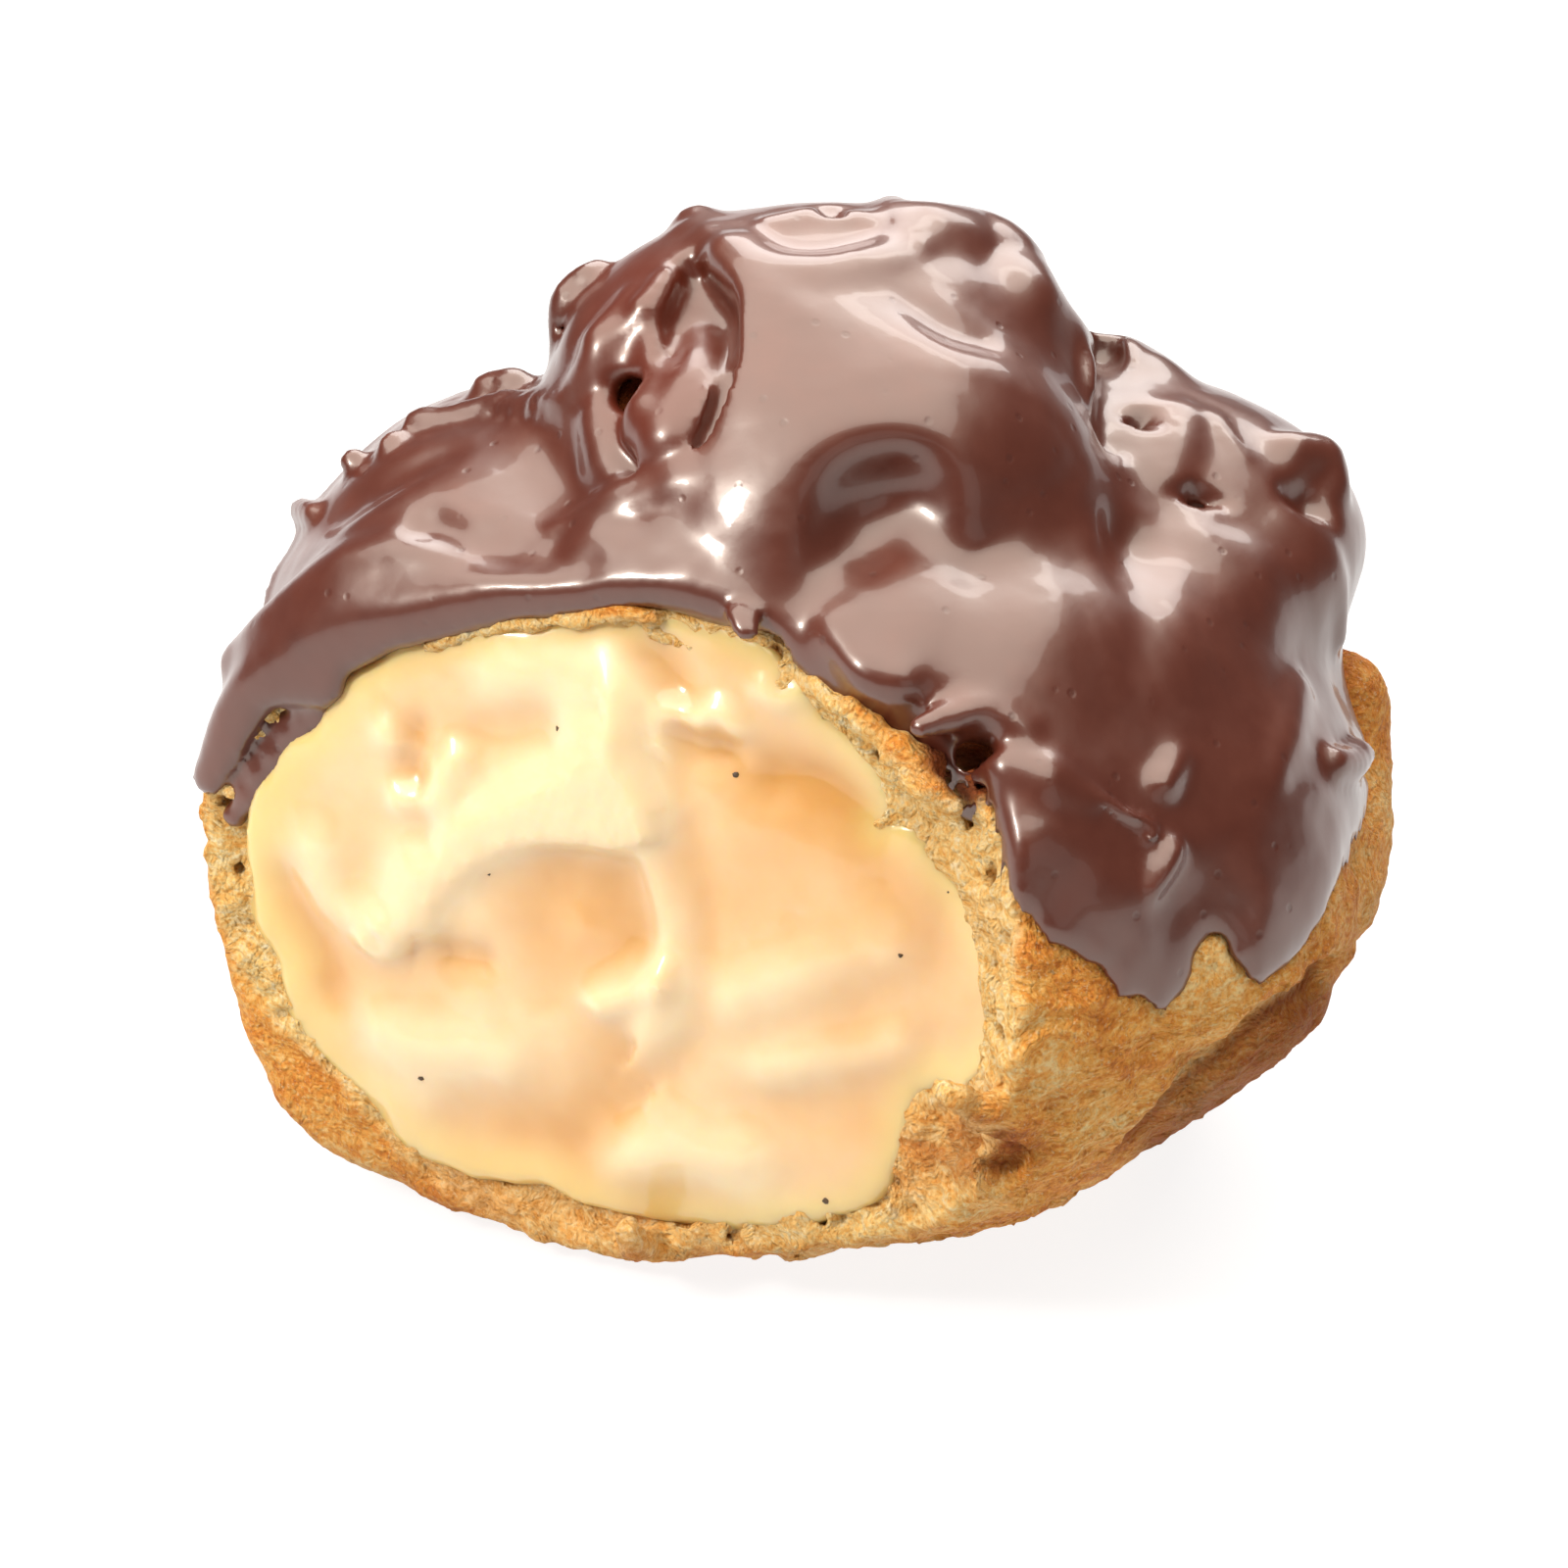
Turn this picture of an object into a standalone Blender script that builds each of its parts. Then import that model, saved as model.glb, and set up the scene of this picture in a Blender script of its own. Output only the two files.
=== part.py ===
"""A custard cream puff with a chocolate coat, cut open at the front left.

Three solids: the choux shell, the custard that fills it and shows at the cut,
and the chocolate coat over the top. X is to the right, Y to the back, Z up,
with the flat base on z = 0.
"""

from math import cos, pi, radians, sin

import bmesh
import bpy
import numpy as np
from mathutils import Vector

MM = 0.001

# Lobes of the baked dough: name, centre and half sizes in millimetres.
# They melt into one another over BLEND.
LOBES = (
    ("body", (0.0, 0.0, 25.0), (36.5, 34.0, 25.0)),
    ("sole", (2.0, 4.0, 6.0), (26.0, 22.0, 7.0)),
    ("crown", (1.4, 8.0, 49.0), (16.0, 14.5, 12.6)),
    ("left_shoulder", (-17.0, 9.0, 35.0), (15.5, 16.0, 13.0)),
    ("right_shoulder", (20.0, 9.0, 37.5), (14.0, 14.0, 12.3)),
    ("right_knuckle", (29.0, 9.0, 40.5), (6.0, 7.0, 5.5)),
    ("right_front", (23.0, -9.0, 25.0), (12.0, 15.0, 12.0)),
    ("right_flank", (27.0, 3.0, 24.0), (11.0, 14.0, 9.0)),
    ("foot", (20.0, 5.0, 8.0), (10.5, 11.0, 8.0)),
    ("left_flank", (-25.5, -6.0, 24.5), (13.5, 14.0, 15.0)),
    ("front_base", (-13.0, -12.0, 11.5), (16.0, 12.0, 10.5)),
)
BLEND = 4.0
MIDDLE = np.array([0.0, 0.0, 26.0])  # every surface is seen whole from here

# The cut face: an upright plane at the front left that curls out on its right.
CUT_NORMAL = np.array([-0.41, -0.90, 0.13]) / np.linalg.norm([-0.41, -0.90, 0.13])
CUT_ACROSS = np.cross([0.0, 0.0, 1.0], CUT_NORMAL)
CUT_ACROSS /= np.linalg.norm(CUT_ACROSS)
CUT_UP = np.cross(CUT_NORMAL, CUT_ACROSS)
CUT_DEPTH = 21.0
CURL_START = 17.0
CURL = 0.085
CUT_HALF_WIDTH = 48.0
CUT_REACH = 40.0

# The hollow that the custard fills.
WALL = 2.3
FLOOR = 2.6
POCKET_CENTRE = (-7.0, 0.0, 23.5)
POCKET_HALF = (29.5, 34.0, 23.5)
GAP = 0.3

# Relief of the custard where it was cut: a spooned hollow with a rim on its left
# and top, a straight step on its right, and softer dents. Places are across and
# up the cut face from FACE_CENTRE, in millimetres.
FACE_CENTRE = (-12.0, 22.0)
FACE_HALF = (27.0, 21.0)
FACE_BULGE = 1.2
SPOON_RADIUS = 8.0
SPOON_DEPTH = 1.8
SPOON_RIM = 1.2
SPOON_RIM_WIDTH = 2.6
DENTS = (  # across, up, radius, depth
    (-14.0, 10.0, 3.0, 1.0),
    (8.5, 13.0, 3.2, 1.0),
    (13.0, 4.0, 4.5, -0.8),
    (-4.0, -13.0, 4.0, 0.9),
    (-17.0, -6.0, 4.0, -0.7),
)

# The chocolate coat: how thick it is, and how far down it reaches, as the angle
# above the horizon from MIDDLE. It runs lower at the front than at the back.
COAT = 2.3
EDGE_FRONT = 9.0
EDGE_BACK = 23.0
DRIPS = (  # azimuth, half width, drop, all in degrees
    (-66.0, 5.0, -8.0),
    (-51.0, 5.5, 7.0),
    (-39.0, 4.5, 6.5),
    (-28.0, 5.0, 2.0),
    (4.0, 7.0, -6.0),
    (33.0, 6.0, 5.0),
    (60.0, 8.0, -12.0),
    (84.0, 6.0, 8.0),
    (112.0, 8.0, 4.0),
    (133.0, 6.0, -6.0),
    (152.0, 6.0, 5.0),
)
DRIP_REACH = 75.0

# How finely each blank is divided: around, and from top to bottom.
SHELL_GRID = (56, 28)
HOLLOW_GRID = (40, 20)
CUSTARD_GRID = (40, 20)
COAT_GRID = (56, 28)
DRIP_GRID = (120, 6)
CUT_GRID = 16
FACE_GRID = 26

# Moves the finished puff so that its box is centred over the origin.
STAND = Vector((0.44, -1.12, 0.0)) * MM


def ellipsoid(points, centre, half):
    """Signed distance, near enough, from points to an ellipsoid."""
    offset = points - np.array(centre)
    half = np.array(half)
    near = np.linalg.norm(offset / half, axis=-1)
    slope = np.linalg.norm(offset / half**2, axis=-1)
    return near * (near - 1.0) / np.maximum(slope, 1e-9)


def dough(points):
    """Signed distance to the lobes, melted together."""
    total = None
    for _, centre, half in LOBES:
        lobe = ellipsoid(points, centre, half)
        if total is None:
            total = lobe
            continue
        mix = np.clip(0.5 + 0.5 * (lobe - total) / BLEND, 0.0, 1.0)
        total = lobe * (1.0 - mix) + total * mix - BLEND * mix * (1.0 - mix)
    return total


def hollow(points):
    """Signed distance to the hollow inside the dough."""
    inside_wall = dough(points) + WALL
    above_floor = FLOOR - points[..., 2]
    pocket = ellipsoid(points, POCKET_CENTRE, POCKET_HALF)
    return np.maximum(np.maximum(inside_wall, above_floor), pocket)


def beyond_cut(points):
    """How far points lie in front of the cut face."""
    curl = np.maximum(points @ CUT_ACROSS - CURL_START, 0.0)
    return points @ CUT_NORMAL - CUT_DEPTH - CURL * curl**2


def direction(azimuth, elevation):
    return np.stack(
        [np.cos(elevation) * np.cos(azimuth), np.cos(elevation) * np.sin(azimuth), np.sin(elevation)],
        axis=-1,
    )


def reach(directions, distance_to, start=75.0, steps=90):
    """Distance from MIDDLE to the outermost surface along each direction."""
    radius = np.full(len(directions), start)
    for _ in range(steps):
        points = MIDDLE + directions * radius[:, None]
        radius -= np.maximum(distance_to(points), 0.0) * 0.8
    return radius


def coat_edge(azimuth):
    """Elevation of the coat's lower edge at each azimuth, in radians."""
    turned = np.degrees(azimuth)
    backward = 0.5 - 0.5 * np.cos(np.radians(np.clip(turned + 20.0, 0.0, 220.0)) * 180.0 / 110.0)
    edge = EDGE_FRONT + (EDGE_BACK - EDGE_FRONT) * backward
    for at, half_width, drop in DRIPS:
        away = (turned - at + 180.0) % 360.0 - 180.0
        edge = edge - drop * np.exp(-((away / half_width) ** 2))
    edge = np.radians(edge)
    return np.maximum(edge, cut_edge(azimuth))


def cut_edge(azimuth):
    """Elevation where the dough's surface meets the cut face, from below."""
    lowest = np.full(len(azimuth), -pi / 2)
    for elevation in np.radians(np.arange(-10.0, 80.0, 0.5)):
        ways = direction(azimuth, np.full(len(azimuth), elevation))
        points = MIDDLE + ways * reach(ways, dough)[:, None]
        lowest = np.where(beyond_cut(points) > 0.0, elevation, lowest)
    return lowest


def face_relief(across, up):
    """Height of the custard's cut face over the cut, in millimetres."""
    a = across - FACE_CENTRE[0]
    b = up - FACE_CENTRE[1]
    bulge = FACE_BULGE * np.clip(1.0 - (a / FACE_HALF[0]) ** 2 - (b / FACE_HALF[1]) ** 2, -1.0, 1.0)
    spoon = np.hypot(a, b)
    pit = -SPOON_DEPTH * np.exp(-((spoon / SPOON_RADIUS) ** 4))
    rim = SPOON_RIM * np.exp(-(((spoon - SPOON_RADIUS - 1.5) / SPOON_RIM_WIDTH) ** 2))
    relief = bulge + pit + rim
    for at_across, at_up, radius, depth in DENTS:
        away = np.hypot(a - at_across, b - at_up)
        relief = relief - depth * np.exp(-((away / radius) ** 2))
    return relief


def material(name, colour, roughness):
    made = bpy.data.materials.new(name)
    made.use_nodes = True
    shader = made.node_tree.nodes["Principled BSDF"]
    shader.inputs["Base Color"].default_value = (*colour, 1.0)
    shader.inputs["Roughness"].default_value = roughness
    shader.inputs["Metallic"].default_value = 0.0
    return made


def to_object(mesh_maker, name, collection, finish=None):
    """Turns a bmesh into a named object in a collection, parented to the puff."""
    mesh = bpy.data.meshes.new(name)
    bmesh.ops.recalc_face_normals(mesh_maker, faces=mesh_maker.faces)
    mesh_maker.to_mesh(mesh)
    mesh_maker.free()
    made = bpy.data.objects.new(name, mesh)
    collection.objects.link(made)
    made.parent = bpy.data.objects["cream_puff"]
    if finish:
        mesh.materials.append(finish)
        mesh.shade_smooth()
        mesh.set_sharp_from_angle(angle=radians(40.0))
    else:
        made.hide_render = True
        made.display_type = "WIRE"
    return made


def ball(grid):
    """A unit sphere and the azimuth and elevation of each of its vertices."""
    maker = bmesh.new()
    bmesh.ops.create_uvsphere(maker, u_segments=grid[0], v_segments=grid[1], radius=1.0)
    ways = np.array([vertex.co[:] for vertex in maker.verts])
    azimuth = np.arctan2(ways[:, 1], ways[:, 0])
    elevation = np.arcsin(np.clip(ways[:, 2], -1.0, 1.0))
    return maker, azimuth, elevation


def place(maker, points):
    for vertex, point in zip(maker.verts, points):
        vertex.co = Vector(point) * MM


def blank(grid, distance_to):
    """A sphere pulled in from all sides onto a surface."""
    maker, azimuth, elevation = ball(grid)
    ways = direction(azimuth, elevation)
    place(maker, MIDDLE + ways * reach(ways, distance_to)[:, None])
    bmesh.ops.triangulate(maker, faces=maker.faces, quad_method="FIXED")
    return maker


def below_the_drips():
    """Everything seen from MIDDLE below the coat's edge, as one closed fan."""
    maker, azimuth, elevation = ball(DRIP_GRID)
    edge = coat_edge(azimuth)
    down = (pi / 2 - elevation) / pi
    lowered = edge + (-pi / 2 - edge) * (down - 1.0 / DRIP_GRID[1]) / (1.0 - 1.0 / DRIP_GRID[1])
    points = MIDDLE + direction(azimuth, lowered) * DRIP_REACH
    points[np.argmax(elevation)] = MIDDLE
    place(maker, points)
    return maker


def in_front_of_cut(divisions, relief):
    """A block whose back is the cut face, with a relief on it."""
    maker = bmesh.new()
    bmesh.ops.create_grid(maker, x_segments=divisions, y_segments=divisions, size=CUT_HALF_WIDTH)
    flat = np.array([vertex.co[:] for vertex in maker.verts])
    across = flat[:, 0] + FACE_CENTRE[0]
    up = flat[:, 1] + FACE_CENTRE[1]
    out = CUT_DEPTH + CURL * np.maximum(across - CURL_START, 0.0) ** 2 + relief(across, up)
    points = across[:, None] * CUT_ACROSS + up[:, None] * CUT_UP + out[:, None] * CUT_NORMAL
    place(maker, points)
    front = bmesh.ops.extrude_face_region(maker, geom=maker.faces[:])["geom"]
    moved = [item for item in front if isinstance(item, bmesh.types.BMVert)]
    for vertex in moved:
        vertex.co += Vector(CUT_NORMAL) * CUT_REACH * MM
    return maker


def below_the_table():
    """A slab that levels the base at z = 0."""
    maker = bmesh.new()
    bmesh.ops.create_cube(maker, size=1.0)
    for vertex in maker.verts:
        vertex.co = Vector((vertex.co.x * 100.0, vertex.co.y * 100.0, vertex.co.z * 20.0 - 10.0)) * MM
    return maker


def subtract(target, *cutters):
    for cutter in cutters:
        cut = target.modifiers.new("less_" + cutter.name, "BOOLEAN")
        cut.operation = "DIFFERENCE"
        cut.object = cutter


def flat_cut(across, up):
    return np.zeros(len(across))


def main():
    for old in list(bpy.data.objects):
        bpy.data.objects.remove(old, do_unlink=True)

    puff = bpy.data.collections.new("cream_puff")
    cutters = bpy.data.collections.new("cutters")
    bpy.context.scene.collection.children.link(puff)
    bpy.context.scene.collection.children.link(cutters)
    origin = bpy.data.objects.new("cream_puff", None)
    origin.location = STAND
    puff.objects.link(origin)

    baked = material("baked_choux", (0.50, 0.22, 0.055), 0.65)
    cream = material("vanilla_custard", (0.92, 0.66, 0.30), 0.35)
    cocoa = material("chocolate", (0.10, 0.022, 0.012), 0.18)

    table_slab = to_object(below_the_table(), "table_slab", cutters)
    cut_block = to_object(in_front_of_cut(CUT_GRID, flat_cut), "cut_block", cutters)
    face_block = to_object(in_front_of_cut(FACE_GRID, face_relief), "face_block", cutters)
    hollow_blank = to_object(blank(HOLLOW_GRID, hollow), "hollow_blank", cutters)
    dough_blank = to_object(
        blank(COAT_GRID, lambda points: dough(points) - GAP), "dough_blank", cutters
    )
    drip_fan = to_object(below_the_drips(), "drip_fan", cutters)

    shell = to_object(blank(SHELL_GRID, dough), "choux_shell", puff, baked)
    subtract(shell, table_slab, hollow_blank, cut_block)

    custard = to_object(
        blank(CUSTARD_GRID, lambda points: hollow(points) + GAP), "custard_filling", puff, cream
    )
    subtract(custard, face_block)

    coat = to_object(
        blank(COAT_GRID, lambda points: dough(points) - GAP - COAT), "chocolate_coat", puff, cocoa
    )
    subtract(coat, dough_blank, drip_fan)


main()
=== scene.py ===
from math import cos, pi, radians, sin

import bmesh
import bpy
import numpy as np
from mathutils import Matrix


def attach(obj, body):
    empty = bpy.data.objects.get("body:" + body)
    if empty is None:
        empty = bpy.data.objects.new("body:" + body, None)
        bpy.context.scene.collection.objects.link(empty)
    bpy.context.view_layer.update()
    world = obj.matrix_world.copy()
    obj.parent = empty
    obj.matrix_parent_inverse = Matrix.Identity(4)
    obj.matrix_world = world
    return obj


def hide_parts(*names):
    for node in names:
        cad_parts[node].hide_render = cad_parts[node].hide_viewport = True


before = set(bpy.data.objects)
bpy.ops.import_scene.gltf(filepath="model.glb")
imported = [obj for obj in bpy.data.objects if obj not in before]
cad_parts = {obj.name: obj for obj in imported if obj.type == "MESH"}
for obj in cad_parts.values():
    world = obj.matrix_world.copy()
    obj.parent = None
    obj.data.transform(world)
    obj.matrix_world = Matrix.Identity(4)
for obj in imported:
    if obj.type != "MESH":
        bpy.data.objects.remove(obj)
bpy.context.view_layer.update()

import openvdb
from mathutils import Vector

mm = 0.001

# lengths are in mm: x right, y back, z up from the table
puff = {
    "stand": (0.44, -1.12, 0.0),  # from the drawing's middle to the frame's
    "middle": (0.0, 0.0, 26.0),  # everything is seen whole from here
    "pitch": 0.4,  # of the clay's grid
    "low": (-43.0, -38.0, -1.6),
    "high": (43.0, 38.0, 67.0),
    "melt": 4.0,  # how softly the lobes run together
    "lobes": {
        "body": ((0, 0, 25), (36.5, 34, 25)),
        "sole": ((2, 4, 6), (26, 22, 7)),
        "crown": ((1.4, 8, 49), (16, 14.5, 12.6)),
        "leftShoulder": ((-17, 9, 35), (15.5, 16, 13)),
        "rightShoulder": ((20, 9, 37.5), (14, 14, 12.3)),
        "rightKnuckle": ((29, 9, 40.5), (6, 7, 5.5)),
        "rightFront": ((23, -9, 25), (12, 15, 12)),
        "rightFlank": ((27, 3, 24), (11, 14, 9)),
        "foot": ((20, 5, 8), (10.5, 11, 8)),
        "leftFlank": ((-25.5, -6, 24.5), (13.5, 14, 15)),
        "frontBase": ((-13, -12, 11.5), (16, 12, 10.5)),
    },
}

bite = {
    "facing": (-0.41, -0.90, 0.13),  # the cut faces this way
    "depth": 21.0,
    "curlFrom": 17.0,  # its right end curls forwards from here
    "curl": 0.085,
    "wall": 2.3,
    "floor": 2.6,
    "pocket": ((-7, 0, 23.5), (29.5, 34, 23.5)),
}

# the front drawing, which many spots below are given on, is seen from here
view = {"elevation": 30.0, "distance": 387.0, "lens": 135.0, "target": (-0.65, 0.0, 27.6)}

lookOut = np.array([0.0, -cos(radians(view["elevation"])), sin(radians(view["elevation"]))])
lookUp = np.array([0.0, sin(radians(view["elevation"])), cos(radians(view["elevation"]))])
eye = np.array(view["target"]) + lookOut * view["distance"]
middle = np.array(puff["middle"])
biteOut = np.array(bite["facing"]) / np.linalg.norm(bite["facing"])
biteRight = np.cross((0.0, 0.0, 1.0), biteOut)
biteRight /= np.linalg.norm(biteRight)
biteUp = np.cross(biteOut, biteRight)


def melt(a, b, soft):  # union with a soft join
    mix = np.clip(0.5 + 0.5 * (b - a) / soft, 0.0, 1.0)
    return b * (1.0 - mix) + a * mix - soft * mix * (1.0 - mix)


def trim(a, b, soft):  # intersection with a rounded edge
    return -melt(-a, -b, soft)


def ease(low, high, value):
    t = np.clip((value - low) / (high - low), 0.0, 1.0)
    return t * t * (3.0 - 2.0 * t)


def ellipsoid(x, y, z, centre, half):
    dx, dy, dz = x - centre[0], y - centre[1], z - centre[2]
    near = np.sqrt((dx / half[0]) ** 2 + (dy / half[1]) ** 2 + (dz / half[2]) ** 2)
    slope = np.sqrt((dx / half[0] ** 2) ** 2 + (dy / half[1] ** 2) ** 2 + (dz / half[2] ** 2) ** 2)
    return near * (near - 1.0) / np.maximum(slope, 1e-6)


def dough(x, y, z):  # distance to the baked lobes
    total = None
    for centre, half in puff["lobes"].values():
        lobe = ellipsoid(x, y, z, centre, half)
        total = lobe if total is None else melt(total, lobe, puff["melt"])
    return total


def biteDepth(x, y, z):  # how far in front of the cut
    across = x * biteRight[0] + y * biteRight[1] + z * biteRight[2]
    return (
        x * biteOut[0] + y * biteOut[1] + z * biteOut[2]
        - bite["depth"] - bite["curl"] * np.maximum(across - bite["curlFrom"], 0.0) ** 2
    )


def onFront(x, y, z):  # where a point is seen in the front drawing: right and up, mm
    qx, qy, qz = x - eye[0], y - eye[1], z - eye[2]
    away = -(qx * lookOut[0] + qy * lookOut[1] + qz * lookOut[2]) / view["distance"]
    return qx / away, (qy * lookUp[1] + qz * lookUp[2]) / away


def onSurface(spots, lift=0.0, level=2.4):  # points on the coat behind spots of the front drawing
    spots = np.array(spots, float)[:, :2]
    aims = np.array(view["target"]) + spots[:, :1] * (1.0, 0.0, 0.0) + spots[:, 1:] * lookUp
    ways = (aims - eye) / np.linalg.norm(aims - eye, axis=1)[:, None]
    reach = np.full(len(spots), 310.0)
    best, held = np.full(len(spots), 1e9), reach.copy()
    for _ in range(140):
        p = eye + ways * reach[:, None]
        gap = dough(p[:, 0], p[:, 1], p[:, 2]) - level
        held = np.where(gap < best, reach, held)
        best = np.minimum(gap, best)
        reach = np.minimum(reach + np.maximum(gap, 0.0) * 0.7, 520.0)
    p = eye + ways * held[:, None]
    return p + slopeOf(dough, p) * lift


def slopeOf(shape, p, step=0.3):  # the direction out of a shape
    slope = np.stack([shape(*(p + d).T) - shape(*(p - d).T) for d in np.eye(3) * step], axis=1)
    return slope / np.maximum(np.linalg.norm(slope, axis=1), 1e-6)[:, None]


def threaded(spots, extra=5):  # a smooth run through spots of any width
    spots = np.array(spots, float)
    if len(spots) < 3:
        return np.array([spots[0] + (spots[-1] - spots[0]) * t for t in np.linspace(0, 1, extra)])
    ends = np.vstack([2 * spots[0] - spots[1], spots, 2 * spots[-1] - spots[-2]])
    run = []
    for a, b, c, d in zip(ends, ends[1:], ends[2:], ends[3:]):
        for t in np.arange(extra) / extra:
            run.append(
                0.5 * (2 * b + (c - a) * t + (2 * a - 5 * b + 4 * c - d) * t**2
                       + (3 * b - a - 3 * c + d) * t**3)
            )
    return np.array(run + [spots[-1]])


def tapered(values, count):  # values spread evenly over this many points
    values = np.atleast_1d(np.array(values, float))
    return np.interp(np.linspace(0, 1, count), np.linspace(0, 1, len(values)), values)


def alongCut(spots, ahead):  # a smooth run over the flat of the cut, this far in front of it
    run = threaded(spots)
    return run[:, :1] * biteRight + run[:, 1:] * biteUp + (bite["depth"] + ahead) * biteOut


def awayFrom(points, spot, half):  # 0 at a spot of the front drawing, 1 on an ellipse round it
    u, v = onFront(*points.T)
    return np.hypot((u - spot[0]) / half[0], (v - spot[1]) / half[1])


def lumps(p, size, seed):  # smooth random values from -1 to 1, over lumps of this size
    table = np.random.default_rng(seed).random((32, 32, 32), dtype=np.float32) * 2.0 - 1.0
    q = (p / np.asarray(size, np.float32)).astype(np.float32) + 100.0
    cell = np.floor(q).astype(np.int32)
    f = q - cell
    f = f * f * (3.0 - 2.0 * f)
    total = 0.0
    for i in (0, 1):
        for j in (0, 1):
            for k in (0, 1):
                share = (
                    (f[:, 0] if i else 1 - f[:, 0])
                    * (f[:, 1] if j else 1 - f[:, 1])
                    * (f[:, 2] if k else 1 - f[:, 2])
                )
                total = total + share * table[
                    (cell[:, 0] + i) & 31, (cell[:, 1] + j) & 31, (cell[:, 2] + k) & 31
                ]
    return total


def waves(p, table):  # lumps of several sizes together: size, height and seed of each
    return sum(tall * lumps(p, size, seed) for size, tall, seed in table)


def wobble(p, size, seeds):  # a random shift for each point
    return np.stack([lumps(p, size, seed) for seed in seeds], axis=1)


def outsideOf(border, u, v):  # distance out of a closed border in a drawing, negative inside
    border = np.array(border, np.float32)
    near = np.full(len(u), 1e9, np.float32)
    inside = np.zeros(len(u), bool)
    for (ax, ay), (bx, by) in zip(border, np.roll(border, -1, axis=0)):
        ex, ey = bx - ax, by - ay
        t = np.clip(((u - ax) * ex + (v - ay) * ey) / max(ex * ex + ey * ey, 1e-9), 0.0, 1.0)
        near = np.minimum(near, (u - ax - t * ex) ** 2 + (v - ay - t * ey) ** 2)
        if abs(ey) > 1e-9:
            inside ^= ((ay > v) != (by > v)) & (u < ex * (v - ay) / ey + ax)
    return np.sqrt(near) * np.where(inside, -1.0, 1.0)


# the grid that the clay is modelled on
axes = [
    np.arange(puff["low"][i], puff["high"][i], puff["pitch"], dtype=np.float32) for i in range(3)
]
gridX, gridY, gridZ = axes[0][:, None, None], axes[1][None, :, None], axes[2][None, None, :]


def placesOf(spots):  # coordinates of some of the grid's cells
    return np.stack([axes[i][spots[i]] for i in range(3)], axis=1)


class Clay:
    def __init__(self, values):
        self.values = np.array(values, dtype=np.float32)

    def near(self, low, high):  # the part of the grid in a box, as slices and coordinates
        cuts = tuple(
            slice(max(int((low[i] - puff["low"][i]) / puff["pitch"]), 0),
                  max(int((high[i] - puff["low"][i]) / puff["pitch"]) + 2, 0))
            for i in range(3)
        )
        return cuts, (gridX[cuts[0]], gridY[:, cuts[1]], gridZ[:, :, cuts[2]])

    def rope(self, points, sizes, soft=1.0, carve=False):  # adds or carves a round run
        points = np.array(points, float)
        sizes = np.broadcast_to(np.array(sizes, float), (len(points),))
        margin = sizes.max() + soft * 1.5 + 1.0
        cuts, (x, y, z) = self.near(points.min(0) - margin, points.max(0) + margin)
        if 0 in (x.size, y.size, z.size):
            return
        near = None
        for a, b, ra, rb in zip(points, points[1:], sizes, sizes[1:]):
            e = b - a
            t = np.clip(
                ((x - a[0]) * e[0] + (y - a[1]) * e[1] + (z - a[2]) * e[2]) / max(e @ e, 1e-9), 0, 1
            )
            d = np.sqrt(
                (x - a[0] - t * e[0]) ** 2 + (y - a[1] - t * e[1]) ** 2 + (z - a[2] - t * e[2]) ** 2
            ) - (ra + t * (rb - ra))
            near = d if near is None else np.minimum(near, d)
        block = self.values[cuts]
        self.values[cuts] = trim(block, -near, soft) if carve else melt(block, near, soft)

    def drawn(self, spots, size, lift, soft, carve=False):
        # a rope laid on the coat along spots of the front drawing, its size and lift spread over the run
        run = threaded(spots)
        points = onSurface(run)
        points = points + slopeOf(dough, points) * tapered(lift, len(run))[:, None]
        self.rope(points, tapered(size, len(run)), soft, carve)

    def mesh(self, smooth):  # its surface as points and quads
        grid = openvdb.FloatGrid(background=3.0)
        grid.copyFromArray(np.clip(self.values, -3.0, 3.0))
        points, quads = grid.convertToQuads(isovalue=0.0)
        points = np.array(points, np.float64) * puff["pitch"] + np.array(puff["low"])
        quads = np.array(quads, np.int64)
        points, quads = withoutSpecks(points, quads)
        corners = points[quads]
        sided = np.cross(corners[:, 2] - corners[:, 0], corners[:, 3] - corners[:, 1])
        if (sided * corners.mean(1)).sum() < 0:
            quads = quads[:, ::-1]
        for _ in range(smooth):
            points = relaxed(points, quads, 0.5)
        return points, quads


def withoutSpecks(points, quads, least=400):  # drops stray specks
    label = np.arange(len(points))
    for _ in range(400):
        low = label[quads].min(axis=1)
        new = label.copy()
        for i in range(4):
            np.minimum.at(new, quads[:, i], low)
        new = new[new]
        if (new == label).all():
            break
        label = new
    names, counts = np.unique(label, return_counts=True)
    good = np.isin(label, names[counts >= least])
    place = np.cumsum(good) - 1
    return points[good], place[quads[good[quads[:, 0]]]]


def relaxed(points, quads, share):  # each point moves towards its neighbours
    total, count = np.zeros_like(points), np.zeros(len(points))
    for i in range(4):
        for j in ((i + 1) % 4, (i + 3) % 4):
            for axis in range(3):
                total[:, axis] += np.bincount(quads[:, i], points[quads[:, j], axis], len(points))
            count += np.bincount(quads[:, i], minlength=len(points))
    return points + (total / np.maximum(count, 1)[:, None] - points) * share


def normalsOf(points, quads):
    corners = points[quads]
    sided = np.cross(corners[:, 2] - corners[:, 0], corners[:, 3] - corners[:, 1])
    total = np.zeros_like(points)
    for i in range(4):
        for axis in range(3):
            total[:, axis] += np.bincount(quads[:, i], sided[:, axis], len(points))
    return total / np.maximum(np.linalg.norm(total, axis=1), 1e-12)[:, None]


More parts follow.
